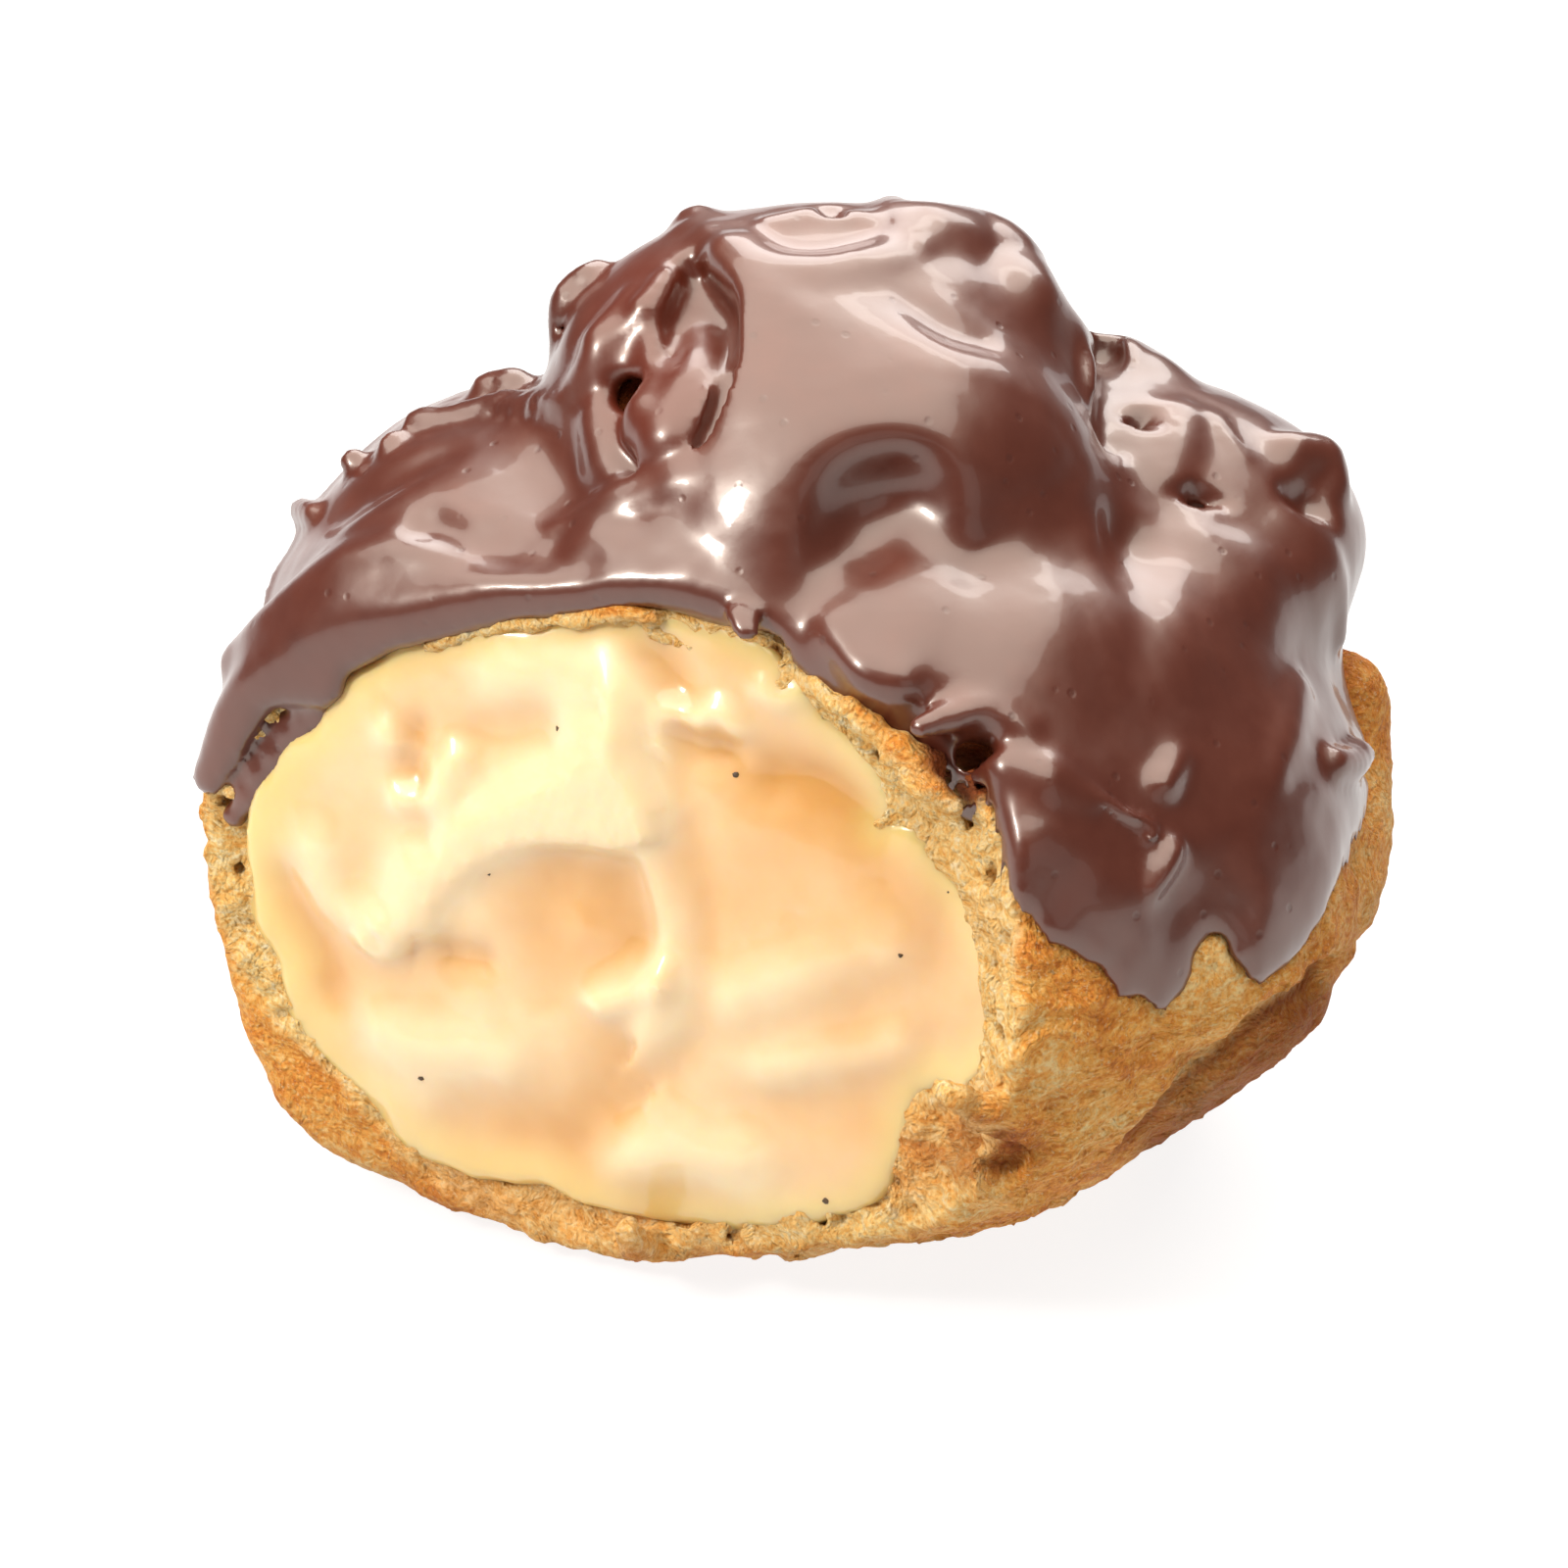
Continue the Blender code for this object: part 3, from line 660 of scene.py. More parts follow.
crust = {
    "torn": ((2.6, 0.35, 31), (1.3, 0.35, 32), (0.7, 0.16, 33)),  # size, height, seed of the torn edge
    "voids": 150,  # bubbles in the crumb where it tore
    "voidSize": (0.3, 0.85),
    "tornPit": ((12.9, -24.0), (5.0, 2.6)),  # where it tore open beside the custard: spot and half size
    "grain": ((0.75, 0.16, 55), (0.45, 0.12, 56)),
    "rolled": (  # the rim that rolls outwards at the lower left, on the cut
        (-32.2, 19.5), (-31.9, 16.4), (-31.2, 12.7), (-29.8, 9.2), (-27.6, 6.1), (-25.1, 3.9),
        (-21.3, 2.4), (-16.9, 1.5), (-11.5, 1.3), (-5.4, 1.6),
    ),
    "underLip": (  # the strip that shows over the custard, on the cut
        (-18.2, 39.5), (-15.5, 41.0), (-12.1, 42.2), (-8.0, 43.5), (-4.6, 44.6), (-2.7, 44.6),
    ),
    "clumps": (  # torn membranes and crumb that stand up beside the custard: spots, size
        (((10.8, -20.6), (12.9, -21.0), (14.8, -21.7), (15.9, -22.6)), (0.8, 1.0, 0.6)),
        (((11.9, -22.3), (12.9, -22.6), (14.4, -23.1)), (0.6, 0.8, 0.5)),
        (((1.9, 7.1), (4.0, 5.0), (6.5, 3.1), (9.5, 1.2)), (0.5, 0.9, 1.1)),
        (((6.8, 1.9), (9.0, 0.0), (11.3, -1.4)), (0.6, 1.0, 0.7)),
        (((15.5, -9.4), (16.9, -12.9), (16.6, -16.8)), (0.6, 0.9, 0.5)),
        (((11.9, -23.5), (12.9, -25.2), (11.9, -25.8)), (0.4, 0.5, 0.3)),
        (((-10.3, -29.8), (-9.0, -30.4), (-7.1, -30.6)), (0.9, 1.1, 0.7)),
    ),
    "holes": (  # where crumb is missing: spots, size
        (((9.8, -23.6), (11.9, -24.4), (13.9, -24.3)), (1.4, 1.9, 1.2)),
        (((12.9, -25.5), (14.8, -25.3)), (0.8, 1.0)),
        (((9.7, -25.2), (10.6, -25.8)), (0.8, 0.9)),
        (((14.8, -24.0), (15.9, -24.3)), (0.6, 0.7)),
        (((9.8, -2.5), (10.7, -3.7), (11.1, -5.2)), (0.9, 1.2, 0.5)),
    ),
    "flank": ((38.7, 6.5), (39.0, 1.3), (39.0, -3.2), (38.2, -7.7)),  # it bulges at the far right
    "footCrease": ((35.5, -12.9), (32.2, -15.5), (29.0, -18.4), (26.1, -20.8), (23.7, -23.5)),
    "underFoot": ((32.2, -20.6), (29.0, -23.2), (25.8, -25.2), (22.6, -26.8)),
    "underPetal": ((-6.3, 34.7), (-6.1, 31.0), (-6.2, 26.4)),
    "footBelow": (  # the foot below the crease gets painted shade, the shade under the body
        (35.2, -12.9), (32.2, -15.2), (29.0, -18.1), (26.1, -20.4), (23.2, -23.0), (23.2, -32.2),
        (45.1, -32.2), (45.1, -12.9),
    ),
}

cream = {
    "gap": -0.15,  # it sinks into the crust by this
    "outline": (  # its border on the front drawing
        (-34.9, -4.0), (-34.3, -1.0), (-32.5, 1.8), (-30.3, 4.0), (-28.9, 6.3), (-27.5, 7.7),
        (-25.8, 8.9), (-23.2, 9.9), (-19.4, 10.6), (-15.5, 11.0), (-11.6, 11.4), (-7.7, 11.6),
        (-5.0, 11.1), (-3.4, 10.2), (-0.6, 8.8), (1.3, 7.1), (3.2, 4.6), (5.2, 2.6), (6.8, 0.5),
        (7.3, -2.1), (6.6, -2.7), (8.7, -3.2), (10.4, -5.2), (12.0, -7.1), (13.3, -9.4), (14.6, -11.9),
        (15.2, -14.3), (14.8, -16.3), (13.5, -18.2), (11.9, -19.5), (10.3, -19.1), (9.0, -20.1),
        (8.1, -22.1), (7.6, -24.5), (6.5, -26.4), (4.5, -28.1), (1.3, -28.7), (-3.2, -29.0),
        (-7.1, -28.4), (-12.9, -27.2), (-15.7, -26.2), (-19.4, -25.4), (-22.6, -24.6), (-24.6, -23.5),
        (-26.8, -21.3), (-29.0, -19.4), (-30.8, -17.3), (-32.2, -14.8), (-32.8, -12.9), (-32.5, -11.7),
        (-33.5, -10.3), (-34.7, -7.7),
    ),
    "bulge": 1.3,
    "middle": (-12.0, 22.0),  # of the bulge, across and up the cut, and its half size
    "half": (28.0, 22.0),
    "strokes": (  # spots on the cut, height, width to the left and to the right of the stroke
        (((-17.6, 21.2), (-17.1, 23.0), (-15.9, 25.0), (-13.6, 27.3), (-10.1, 29.3),
          (-6.3, 30.6), (-3.9, 30.5)), 1.0, 2.8, 1.7),
        (((-8.5, 31.1), (-5.8, 32.3), (-3.7, 32.1)), 0.6, 3.0, 2.6),
        (((-6.2, 36.4), (-5.8, 34.6), (-5.6, 32.8), (-5.7, 31.7)), 0.7, 2.6, 2.4),
        (((-4.3, 36.8), (-3.1, 34.1), (-1.9, 30.8), (-0.7, 26.8), (0.1, 22.9), (-0.1, 19.1),
          (-1.3, 16.6)), 0.7, 3.2, 1.2),
        (((-0.7, 34.3), (1.0, 30.0), (2.1, 25.8), (2.4, 21.4), (1.7, 17.1), (0.3, 14.3)), -0.5, 1.6, 4.4),
        (((-2.3, 11.2), (-5.3, 8.5), (-9.2, 7.0), (-14.1, 7.0)), -0.25, 2.4, 2.4),
        (((-7.2, 26.7), (-9.2, 22.8), (-6.9, 19.5), (-3.5, 22.1), (-5.1, 25.8)), -0.4, 2.8, 2.8),
        (((-4.2, 18.2), (-2.4, 19.3), (-0.4, 20.9)), 0.85, 1.7, 1.3),
        (((-18.6, 33.5), (-18.7, 31.6), (-18.2, 30.7)), -0.55, 1.3, 1.3),
        (((-15.3, 32.7), (-16.1, 31.0), (-17.3, 29.3), (-19.2, 29.0)), 0.5, 1.2, 1.2),
        (((-20.3, 33.3), (-19.6, 32.8)), 0.45, 1.3, 1.3),
        (((-17.4, 28.2), (-17.1, 26.5)), -0.4, 1.3, 1.3),
        (((-21.3, 18.5), (-20.2, 17.9), (-19.3, 19.2), (-20.2, 20.1)), 0.45, 0.8, 0.8),
        (((-15.4, 18.7), (-13.2, 18.9)), -0.45, 1.3, 1.3),
        (((-2.3, 41.8), (-1.5, 40.8), (-1.0, 40.0)), -0.5, 1.4, 1.6),
        (((-0.2, 37.4), (0.9, 36.7), (2.6, 36.8)), -0.5, 1.2, 1.3),
        (((-0.9, 38.8), (0.8, 38.6), (2.3, 39.5), (3.3, 38.6)), 0.5, 1.0, 0.9),
        (((5.0, 41.5), (6.0, 41.0), (7.3, 41.5)), 0.4, 0.9, 0.9),
        (((6.0, 35.8), (9.3, 35.9), (12.1, 34.5)), -0.45, 1.6, 2.0),
        (((4.8, 20.6), (9.4, 23.5), (14.0, 25.6)), 0.4, 2.4, 2.4),
        (((7.1, 16.0), (10.5, 17.2), (13.5, 18.2), (15.4, 19.7)), 0.36, 1.9, 1.6),
        (((6.6, 13.3), (10.6, 14.5), (13.9, 16.5)), -0.12, 2.0, 2.0),
        (((-25.6, 23.8), (-24.4, 20.9), (-21.9, 19.8)), 0.5, 2.2, 2.2),
        (((-27.7, 20.5), (-25.4, 16.8), (-24.2, 13.6)), -0.35, 1.8, 1.8),
        (((-20.2, 12.4), (-15.9, 12.1), (-11.6, 12.4)), 0.45, 2.4, 2.4),
        (((-2.8, 6.8), (1.3, 8.6), (5.5, 9.0)), 0.4, 2.2, 2.2),
        (((-12.6, 38.4), (-8.5, 39.7), (-4.4, 40.1)), 0.35, 2.0, 2.0),
        (((-13.8, 34.4), (-9.7, 36.0)), -0.3, 2.0, 2.0),
    ),
    "strokeTall": 1.75,  # all the strokes' heights times this
    "waves": ((9.0, 0.42, 61), (4.5, 0.2, 62), (2.2, 0.07, 63)),  # size, height and seed
    "edgeWaves": ((3.2, 0.45, 64), (1.4, 0.3, 66)),
}

print("baking the crust")
hollowAt = np.maximum(doughAt + bite["wall"], bite["floor"] - gridZ)
hollowAt = np.maximum(hollowAt, ellipsoid(gridX, gridY, gridZ, *bite["pocket"]))


def crustRelief(p):  # wrinkles and blisters of the baked skin, in mm, outwards
    bent = p + 1.6 * wobble(p, 4.5, (41, 42, 43))
    fibre = 1.0 - np.abs(lumps(bent, (3.2, 3.2, 1.5), 44)) * 2.0
    fine = 1.0 - np.abs(lumps(bent, (1.5, 1.5, 0.8), 45)) * 2.0
    blister = np.maximum(lumps(p, 3.6, 46), 0.0)
    slow = 0.6 * lumps(p, 7.0, 47)
    return slow + 0.32 * fibre + 0.25 * fine + 0.5 * blister + 0.22 * lumps(p, 1.3, 48) - 0.2


crustAt = np.maximum(doughAt, -gridZ)
spots = np.nonzero(np.abs(doughAt) < 2.5)
p = placesOf(spots)
covered = 1.0 - ease(-1.5, 0.5, below[spots])  # under the chocolate the crust stays plain
crustAt[spots] -= (crustRelief(p) * (1.0 - covered)).astype(np.float32)
spots = np.nonzero((np.abs(biteAt) < 3.0) & (doughAt < 2.0))
p = placesOf(spots)
torn = np.zeros_like(doughAt)
torn[spots] = waves(p, crust["torn"])
rim = Clay(crustAt)
rolled = alongCut(crust["rolled"], -2.6)
rolledSize = np.interp(np.linspace(0, 1, len(rolled)), (0, 0.2, 0.5, 0.8, 1), (1.5, 2.3, 3.0, 2.5, 1.5))
rim.rope(rolled, rolledSize + 0.3 * lumps(rolled, 2.5, 35), 1.6)
crustAt = trim(rim.values, biteAt + torn, 0.4)
border = np.full_like(doughAt, 3.0)  # how far outside the custard's border in the front drawing
border[spots] = outsideOf(cream["outline"], frontU[spots], frontV[spots]) - 0.35
border[spots] += waves(p, cream["edgeWaves"])
crumbAt = np.maximum(-0.75 - border, biteAt + torn + 0.45)  # crumb that reaches to the custard
crumbAt = np.maximum(crumbAt, -(biteAt + 2.2))
crustAt = np.maximum(crustAt, -hollowAt)
crustAt = np.minimum(crustAt, np.maximum(crumbAt, np.maximum(doughAt + 0.6, 0.3 - gridZ)))
crustAt = np.maximum(crustAt, 0.02 - gridZ)
shell = Clay(crustAt)

random = np.random.default_rng(7)
made = 0
while made < crust["voids"]:
    a, b = random.uniform(-42, 32), random.uniform(2, 46)
    size = random.uniform(*crust["voidSize"])
    depth = bite["depth"] + bite["curl"] * max(a - bite["curlFrom"], 0.0) ** 2 - random.uniform(-0.3, 0.8)
    at = a * biteRight + b * biteUp + depth * biteOut
    d = float(dough(*at))
    if not -4.5 < d < -0.8:
        continue
    made += 1
    longer = random.normal(size=3) * size * 0.8
    shell.rope([at - longer, at + longer], size * 0.7, 0.25, carve=True)

for path, size in crust["clumps"]:
    run = onSurface(threaded(path), 0.0, -0.9)
    shell.rope(run + 0.35 * wobble(run, 1.1, (51, 52, 53)), tapered(size, len(run)), 0.6)
for path, size in crust["holes"]:
    run = onSurface(threaded(path), 0.0, -0.6)
    shell.rope(run, tapered(size, len(run)), 0.5, carve=True)
run = alongCut(crust["underLip"], 0.35)
shell.rope(run + 0.2 * wobble(run, 1.6, (57, 58, 59)), 0.62, 0.3)
shell.rope(onSurface(threaded(crust["flank"]), -2.6, 0.0), 3.5, 1.6)
shell.rope(onSurface(threaded(crust["footCrease"]), 0.3, 0.0), 2.0, 0.8, carve=True)
shell.rope(onSurface(threaded(crust["underFoot"]), 0.9, 0.0), 2.8, 1.5, carve=True)
shell.rope(onSurface(threaded(crust["underPetal"]), -3.4), 4.4, 0.5, carve=True)
for spot, size in glaze["pits"]:
    well = np.vstack([onSurface([spot], 0.0), onSurface([spot], -5.5)])
    shell.rope(well, (size * 1.2, size), 0.5, carve=True)

shellPoints, shellQuads = shell.mesh(smooth=1)
facing = normalsOf(shellPoints, shellQuads)
shellBite = biteDepth(*shellPoints.T)
shellDough = dough(*shellPoints.T)
tornMark = ease(-1.6, -0.5, shellBite) * ease(0.3, -0.5, shellDough) + ease(-1.2, -1.9, shellDough)
tornMark = np.clip(tornMark, 0.0, 1.0)
grain = waves(shellPoints, crust["grain"])
shellPoints = shellPoints + facing * (grain * (0.6 + 0.9 * tornMark))[:, None]
shellPoints[:, 2] = np.maximum(shellPoints[:, 2], 0.0)
# painted shade: the crust drawn darker where it sinks below the dough's surface, in creases and hollows
sunken = np.clip(-(shellDough + 0.2) / 1.2, 0.0, 1.0) * (1 - tornMark)
shellU, shellV = onFront(*shellPoints.T)
# darker over the right flank and low down: partly browner baking at the base, partly painted shade that holds
# back the floor's light
lowRightBrowningAndShade = 0.3 * ease(28.0, 36.0, shellPoints[:, 0]) + 0.26 * ease(13.0, 2.0, shellPoints[:, 2])
sunken = np.maximum(sunken, lowRightBrowningAndShade * (1 - tornMark))
# painted shade on the foot below the crease
footShade = ease(1.5, -1.5, outsideOf(crust["footBelow"], shellU, shellV))
footShade = footShade * ease(0.0, 6.0, shellPoints[:, 0])
sunken = np.maximum(sunken, 0.84 * footShade)
tornPit = awayFrom(shellPoints, *crust["tornPit"])
threads = ease(-0.35, 0.35, lumps(shellPoints, (1.3, 1.3, 0.8), 36) + 0.15)
# painted shade in the torn pit, broken up by the threads
sunken = np.maximum(sunken, 0.5 * ease(1.1, 0.6, tornPit) * threads)
tornMark = tornMark * (1.0 - 0.75 * ease(1.9, 1.0, tornPit) * (0.5 + 0.5 * threads))
tornMark = tornMark * (1.0 - 0.5 * ease(10.0, 3.0, shellPoints[:, 2]))
# painted shade down in the crust under the chocolate's pits
for spot, size in glaze["pits"]:
    away = np.linalg.norm(shellPoints - onSurface([spot], -3.0), axis=1)
    sunken = np.maximum(sunken, 1.1 * ease(3.6, 2.4, away))


def creamRelief(a, b):  # height of the custard over the cut
    dx, dy = (a - cream["middle"][0]) / cream["half"][0], (b - cream["middle"][1]) / cream["half"][1]
    total = cream["bulge"] * np.clip(1.0 - dx * dx - dy * dy, -0.6, 1.0)
    for path, tall, left, right in cream["strokes"]:
        run = threaded(path, 4)
        near, side = np.full(len(a), 1e9), np.zeros(len(a))
        for (ax, ay), (bx, by) in zip(run, run[1:]):
            ex, ey = bx - ax, by - ay
            t = np.clip(((a - ax) * ex + (b - ay) * ey) / max(ex * ex + ey * ey, 1e-9), 0.0, 1.0)
            ox, oy = a - ax - t * ex, b - ay - t * ey
            d = ox * ox + oy * oy
            side = np.where(d < near, ex * oy - ey * ox, side)
            near = np.minimum(near, d)
        total = total + cream["strokeTall"] * tall * np.exp(-near / np.where(side > 0, left, right) ** 2)
    return total + waves(np.stack([a, b, np.zeros_like(a)], axis=1), cream["waves"])


print("filling with custard")
up = gridX * biteUp[0] + gridY * biteUp[1] + gridZ * biteUp[2]
spots = np.nonzero((np.abs(biteAt) < 5.0) & (doughAt < 2.0))
relief = np.zeros_like(doughAt)
relief[spots] = creamRelief(across[spots], up[spots])
face = biteAt - relief
smear = trim(np.maximum(border, doughAt + 0.2), face, 1.1)
smear = np.maximum(smear, -(biteAt + 2.8))
creamAt = trim(hollowAt + cream["gap"], face, 0.6)
creamAt = np.maximum(creamAt, np.where(biteAt > -2.6, border, -9.0))
custard = Clay(melt(creamAt, smear, 0.5))
creamPoints, creamQuads = custard.mesh(smooth=3)
creamBite = biteDepth(*creamPoints.T)
creamU, creamV = onFront(*creamPoints.T)
edgeMark = ease(-3.2, -0.2, outsideOf(cream["outline"], creamU, creamV)) * ease(-3.0, -1.0, creamBite)
plain = cream["bulge"] * np.clip(
    1.0 - ((creamPoints @ biteRight - cream["middle"][0]) / cream["half"][0]) ** 2
    - ((creamPoints @ biteUp - cream["middle"][1]) / cream["half"][1]) ** 2, -0.6, 1.0)
# painted shade: the custard drawn darker orange in the relief's troughs and towards the bottom
creamShadeMark = np.clip(0.5 - (creamBite - plain) * 0.52 + 0.3 * ease(12.0, 3.0, creamPoints[:, 2]), 0.0, 1.0)
facing = normalsOf(creamPoints, creamQuads)
creamPoints = creamPoints + facing * (0.035 * lumps(creamPoints, 1.1, 65))[:, None]

print("mixing the finishes")


def chocolateFinish():
    paint = Paint("chocolateGlaze", {
        "Metallic": 0.0, "IOR": 1.6, "Specular IOR Level": 0.72, "Coat Roughness": 0.07,
        "Specular Tint": (1.0, 0.91, 0.82, 1.0),
    })
    place = paint.where()
    cloud = paint.noise(place, 0.09, 3.0)
    mottle = paint.noise(place, 0.6, 4.0)
    colour = paint.ramped(
        cloud * 0.75 + mottle * 0.25,
        [(0.3, (0.066, 0.0112, 0.0055)), (0.55, (0.084, 0.0150, 0.0068)), (0.75, (0.110, 0.0215, 0.0095))],
    )
    pin = paint.spread(paint.cells(place, 0.42), 0.16, 0.05)  # pinholes of small bubbles
    # painted shade: the pinholes drawn darker inside
    colour = paint.mixed(pin * 0.35, colour, (0.045, 0.008, 0.005))
    petal = paint.mark("petal")
    colour = paint.mixed(petal * 0.7, colour, (0.095, 0.0125, 0.0045))  # thin and red between the folds
    paint.into("Base Color", colour)
    paint.into("Roughness", 0.29 + mottle * 0.08 + paint.spread(cloud, 0.5, 0.7) * 0.05)
    paint.into("Coat Weight", 0.38 + cloud * 0.2 - petal * 0.25)
    fine = paint.noise(place, 2.6, 2.0)
    slow = paint.noise(place, 0.35, 2.0)
    paint.bumps([(slow, 0.4, 0.06), (fine, 0.04, 0.08), (pin, -0.10, 0.25)])
    return paint.material


def crustFinish():
    paint = Paint("bakedCrust", {"Metallic": 0.0, "IOR": 1.4, "Specular IOR Level": 0.35})
    place = paint.where()
    bend = paint.add("TexNoise", {}, {"Vector": place, "Scale": 0.22, "Detail": 2.0}, out="Color")
    bent = paint.add("VectorMath", {"operation": "MULTIPLY_ADD"}, {0: bend, 1: (5.0, 5.0, 5.0), 2: place})
    fibres = paint.add("VectorMath", {"operation": "MULTIPLY"}, {0: bent, 1: (0.55, 0.55, 1.6)})
    fibre = paint.noise(fibres, 1.4, 6.0, 0.66)
    fine = paint.noise(place, 2.4, 5.0, 0.65)
    patch = paint.noise(place, 0.14, 3.0)
    speckle = paint.noise(place, 3.6, 4.0, 0.7)
    streak = fibre * 0.38 + fine * 0.42 + patch * 0.38
    baked = paint.ramped(
        streak,
        [(0.38, (0.36, 0.075, 0.008)), (0.47, (0.62, 0.172, 0.017)), (0.55, (0.82, 0.290, 0.036)),
         (0.63, (0.94, 0.450, 0.092)), (0.73, (1.00, 0.700, 0.30))],
    )
    crumb = paint.ramped(
        fibre * 0.5 + fine * 0.5,
        [(0.34, (0.88, 0.400, 0.070)), (0.44, (0.98, 0.60, 0.17)), (0.52, (1.00, 0.77, 0.34)),
         (0.62, (1.00, 0.89, 0.60))],
    )
    colour = paint.mixed(paint.mark("torn") * 0.66, baked, crumb)
    # pale specks: light crumbs of the crust, partly painted glints of its sugary sparkle
    colour = paint.mixed(paint.spread(speckle, 0.55, 0.68) * 0.5, colour, (0.97, 0.78, 0.44))
    colour = paint.mixed(paint.spread(speckle, 0.42, 0.30) * 0.35, colour, (0.50, 0.16, 0.018))
    # painted shade in creases, pits and under the body, with some browner baking low down
    colour = paint.mixed(paint.mark("sunken") * 0.88, colour, (0.24, 0.041, 0.004))
    paint.into("Base Color", colour)
    paint.into("Roughness", 0.5 + fine * 0.25)
    cracks = paint.cells(bent, 0.8, "DISTANCE_TO_EDGE")
    pebble = paint.cells(bent, 2.4)
    paint.bumps([
        (fibre, 0.5, 0.7), (fine, 0.45, 1.0), (speckle, 0.2, 1.0), (pebble, -0.25, 0.8),
        (paint.spread(cracks, 0.0, 0.12), 0.15, 0.3),
    ])
    return paint.material


def custardFinish():
    paint = Paint("vanillaCustard", {
        "Metallic": 0.0, "IOR": 1.42, "Subsurface Weight": 0.55, "Subsurface Scale": 0.0030,
        "Subsurface Radius": (1.0, 0.62, 0.25), "Coat Roughness": 0.12,
    })
    place = paint.where()
    cloud = paint.noise(place, 0.12, 3.0)
    fine = paint.noise(place, 1.6, 3.0)
    paint.into("Coat Weight", 0.72 + fine * 0.2)
    # the custard's colour, darker orange where the painted shade of troughs and bottom falls
    body = paint.ramped(
        cloud * 0.5 + paint.mark("trough") * 0.7,
        [(0.30, (0.77, 0.595, 0.355)), (0.50, (0.73, 0.485, 0.25)), (0.70, (0.70, 0.405, 0.165)),
         (0.9, (0.62, 0.31, 0.085))],
    )
    colour = paint.mixed(paint.mark("edge") * 0.6, body, (0.74, 0.56, 0.19))
    paint.into("Base Color", colour)
    paint.into("Roughness", 0.3 + fine * 0.1)
    paint.bumps([(cloud, 0.5, 0.12), (fine, 0.06, 0.2)])
    return paint.material


def seedFinish():
    paint = Paint("vanillaSeed", {"Metallic": 0.0})
    speck = paint.noise(paint.where(), 3.0)
    paint.into("Base Color", paint.ramped(speck, [(0.3, (0.035, 0.018, 0.008)), (0.7, (0.10, 0.055, 0.022))]))
    paint.into("Roughness", 0.45 + speck * 0.2)
    return paint.material


def floorFinish():
    paint = Paint("paleFloor", {
        "Metallic": 0.0, "Specular IOR Level": 0.1,
        "Emission Color": (1.0, 1.0, 1.0, 1.0), "Emission Strength": 0.86,
    })
    tint = paint.noise(paint.where(), 0.01)
    paint.into("Base Color", paint.ramped(tint, [(0.0, (0.19, 0.19, 0.19)), (1.0, (0.21, 0.21, 0.21))]))
    paint.into("Roughness", 0.8)
    return paint.material


chocolateCoat = chocolateFinish()
crustSkin = crustFinish()
custardBody = custardFinish()

toPiece("chocolateGlaze", coatPoints, coatQuads, {"petal": petalMark},
        chocolateCoat, "chocolate_coat")
toPiece("bakedCrust", shellPoints, shellQuads, {"torn": tornMark, "sunken": sunken},
        crustSkin, "choux_shell")
toPiece("vanillaCustard", creamPoints, creamQuads, {"edge": edgeMark, "trough": creamShadeMark},
        custardBody, "custard_filling")

seeds = {
    "spots": (
        (-8.4, 36.1), (3.4, 35.2), (-12.7, 25.4), (-7.3, 22.1), (-25.7, 14.7), (15.3, 25.7),
        (18.0, 30.3), (18.0, 24.4), (1.3, 5.6), (11.3, 7.4), (-17.2, 9.6), (1.1, 12.1),
    ),
    "size": (0.2, 0.33),
}


def grains(name, places, sizes, normals, finish, flat, rough, detail=1):  # small balls, joined
    draw = np.random.default_rng(3)
    corners, faces = icoBall(detail)
    points, quads = [], []
    for place, size, normal in zip(places, sizes, normals):
        turned = np.linalg.qr(np.column_stack([normal, draw.normal(size=(3, 2))]))[0]
        shape = corners * (1 + rough * draw.normal(size=(len(corners), 1)))
        shape = shape * (flat, 1.0, draw.uniform(0.7, 1.2)) * size
        quads.append(faces + sum(len(q) for q in points))
        points.append(place + shape @ turned.T)
    return toPiece(name, np.vstack(points), np.vstack(quads), {}, finish)


def icoBall(detail):
    maker = bmesh.new()
    bmesh.ops.create_icosphere(maker, subdivisions=detail, radius=1.0)
    corners = np.array([v.co[:] for v in maker.verts])
    faces = np.array([[v.index for v in f.verts] for f in maker.faces])
    maker.free()
    return corners, faces


def onCut(spots):  # points of the custard's face at spots across and up the cut
    spots = np.array(spots)
    a, b = spots[:, 0], spots[:, 1]
    out = bite["depth"] + bite["curl"] * np.maximum(a - bite["curlFrom"], 0.0) ** 2 + creamRelief(a, b)
    return a[:, None] * biteRight + b[:, None] * biteUp + out[:, None] * biteOut


draw = np.random.default_rng(5)
seedPlaces = onCut(seeds["spots"]) + biteOut * 0.02
grains("vanillaSeeds", seedPlaces, draw.uniform(*seeds["size"], len(seedPlaces)),
       [biteOut] * len(seedPlaces), seedFinish(), 0.5, 0.12)

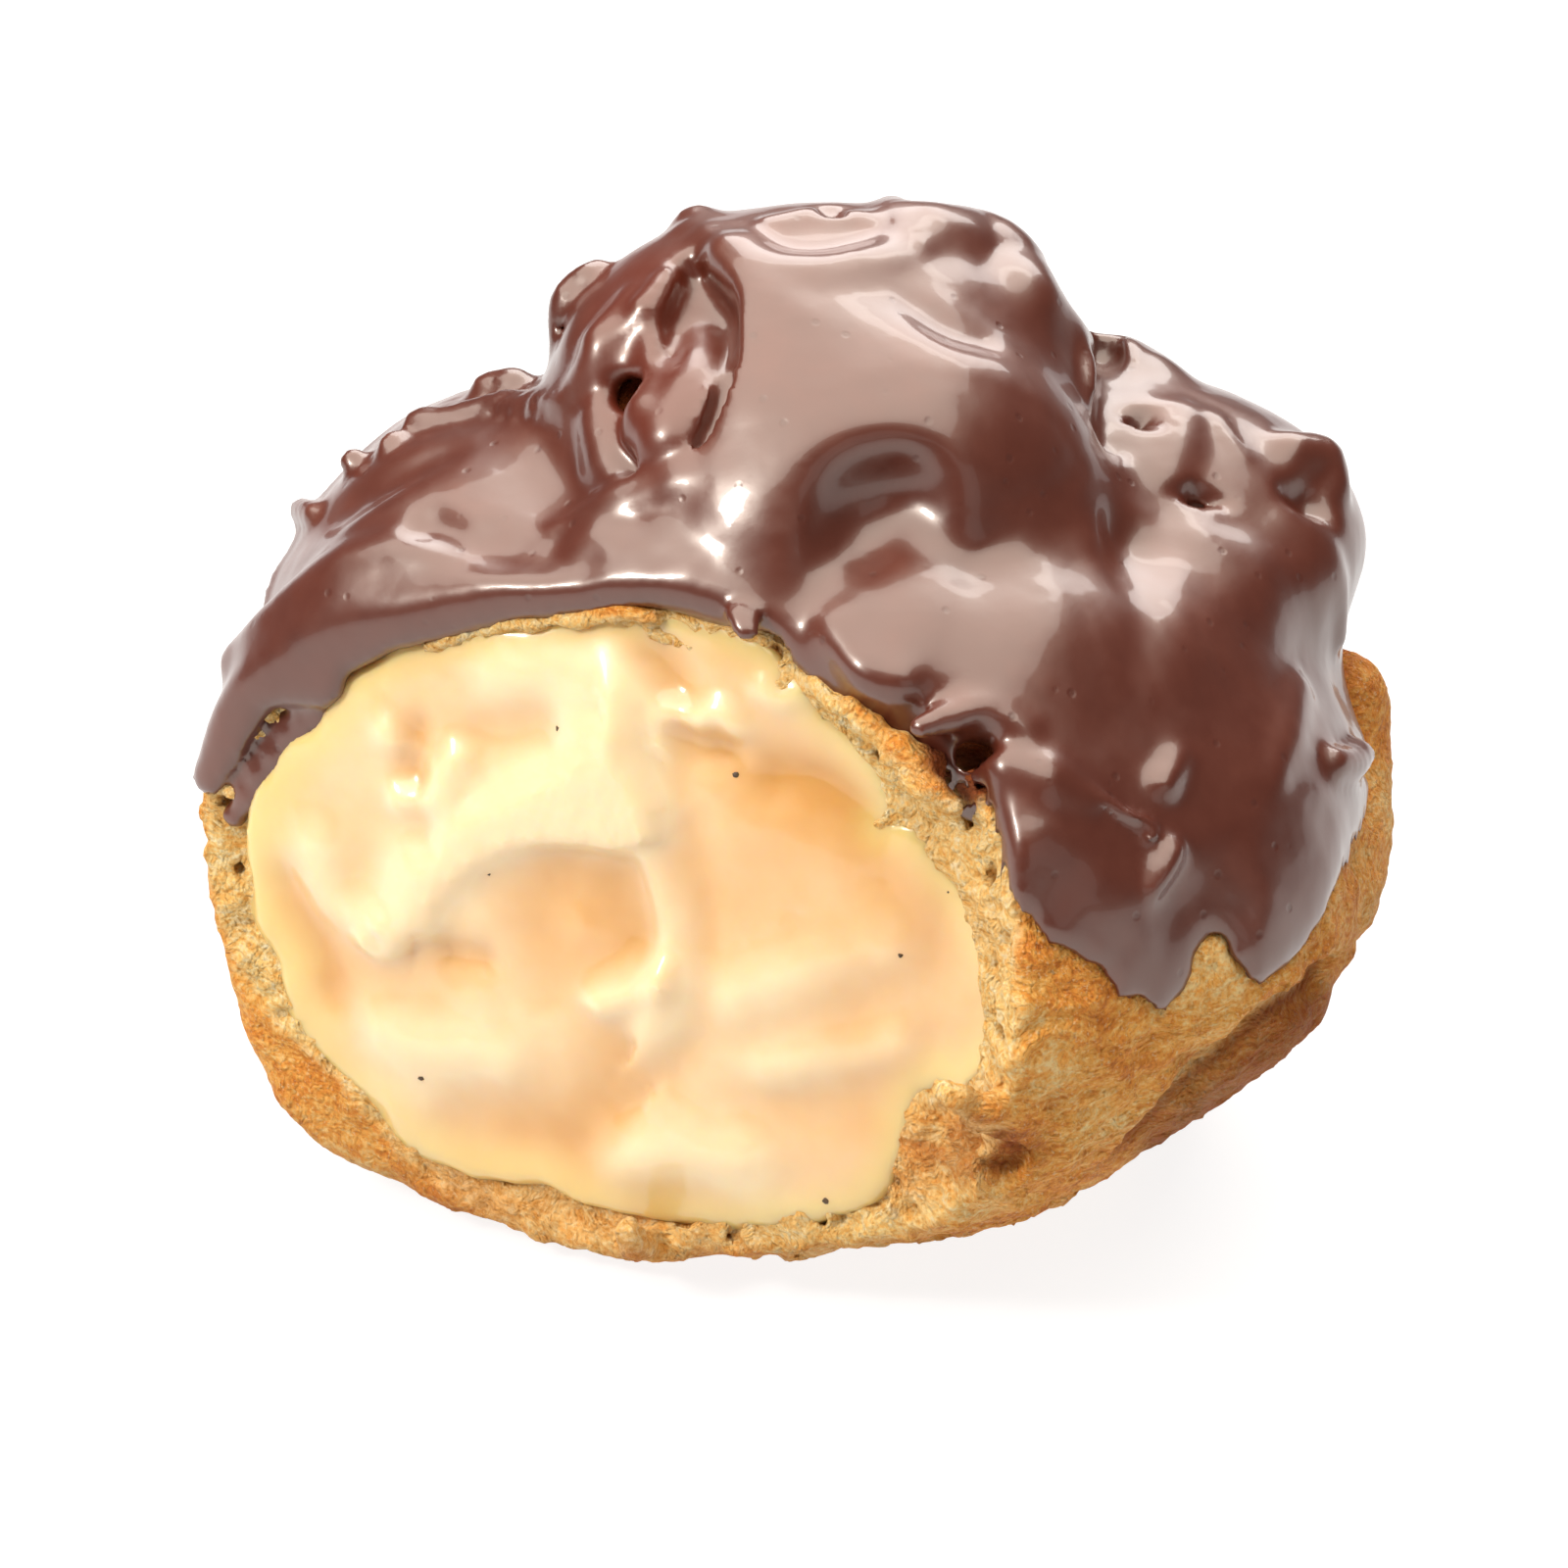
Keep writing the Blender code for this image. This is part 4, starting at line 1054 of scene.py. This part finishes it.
drops = {  # chocolate that splashed on the crust
    "spots": ((28.9, -13.5), (29.4, -13.8), (30.4, -12.4)),  # on the front drawing
    "sizes": (0.42, 0.3, 0.3),
    "lifts": (0.1, 0.1, 0.2),
}
dropPlaces = onSurface(drops["spots"], 0.0, 0.1)
dropPlaces = dropPlaces + slopeOf(dough, dropPlaces) * np.array(drops["lifts"])[:, None]
grains("chocolateDrops", dropPlaces, drops["sizes"], slopeOf(dough, dropPlaces),
       chocolateCoat, 0.7, 0.04, detail=3)

print("setting up the studio")


def toFrame(p):
    return Vector((np.array(p) + np.array(puff["stand"])) * mm)


camera = bpy.data.cameras.new("camera")
camera.lens = view["lens"]
camera.sensor_width = 36.0
camera.clip_start = 0.01
cameraObject = bpy.data.objects.new("camera", camera)
cameraObject.location = toFrame(eye)
cameraObject.rotation_euler = (radians(90.0 - view["elevation"]), 0.0, 0.0)
bpy.context.scene.collection.objects.link(cameraObject)
bpy.context.scene.camera = cameraObject

studio = {
    "floor": 3.0,
    "world": 0.10,
    "view": "Standard",
    "lights": {
        # name: place and aim in mm, width and height in mm, power in W, colour
        "skyPanel": ((-90, 25, 430), (-90, 26, 30), 800, 650, 5.6, (1.0, 0.95, 0.87)),
        "backPanel": ((70, 340, 300), (0, 0, 45), 400, 240, 1.5, (1.0, 0.98, 0.95)),
        "keyPanel": ((-330, -190, 330), (0, 0, 30), 90, 90, 1.6, (1.0, 0.98, 0.95)),
        "fillPanel": ((260, -420, 180), (0, 0, 25), 300, 200, 0.1, (1.0, 0.98, 0.96)),
    },
}


def panel(name, place, aim, wide, high, power, colour):
    light = bpy.data.lights.new(name, "AREA")
    light.shape = "RECTANGLE"
    light.size, light.size_y = wide * mm, high * mm
    light.energy, light.color = power, colour
    lamp = bpy.data.objects.new(name, light)
    lamp.location = toFrame(place)
    lamp.rotation_euler = (toFrame(aim) - toFrame(place)).to_track_quat("-Z", "Y").to_euler()
    bpy.context.scene.collection.objects.link(lamp)


for name, facts in studio["lights"].items():
    panel(name, *facts)

bpy.ops.mesh.primitive_plane_add(size=studio["floor"])
floor = bpy.context.object
floor.name = "floor"
floor.data.materials.append(floorFinish())

world = bpy.data.worlds.new("studio")
world.use_nodes = True
world.node_tree.nodes["Background"].inputs["Color"].default_value = (1.0, 0.96, 0.90, 1.0)
world.node_tree.nodes["Background"].inputs["Strength"].default_value = studio["world"]
bpy.context.scene.world = world
bpy.context.scene.view_settings.view_transform = studio["view"]

print("done")
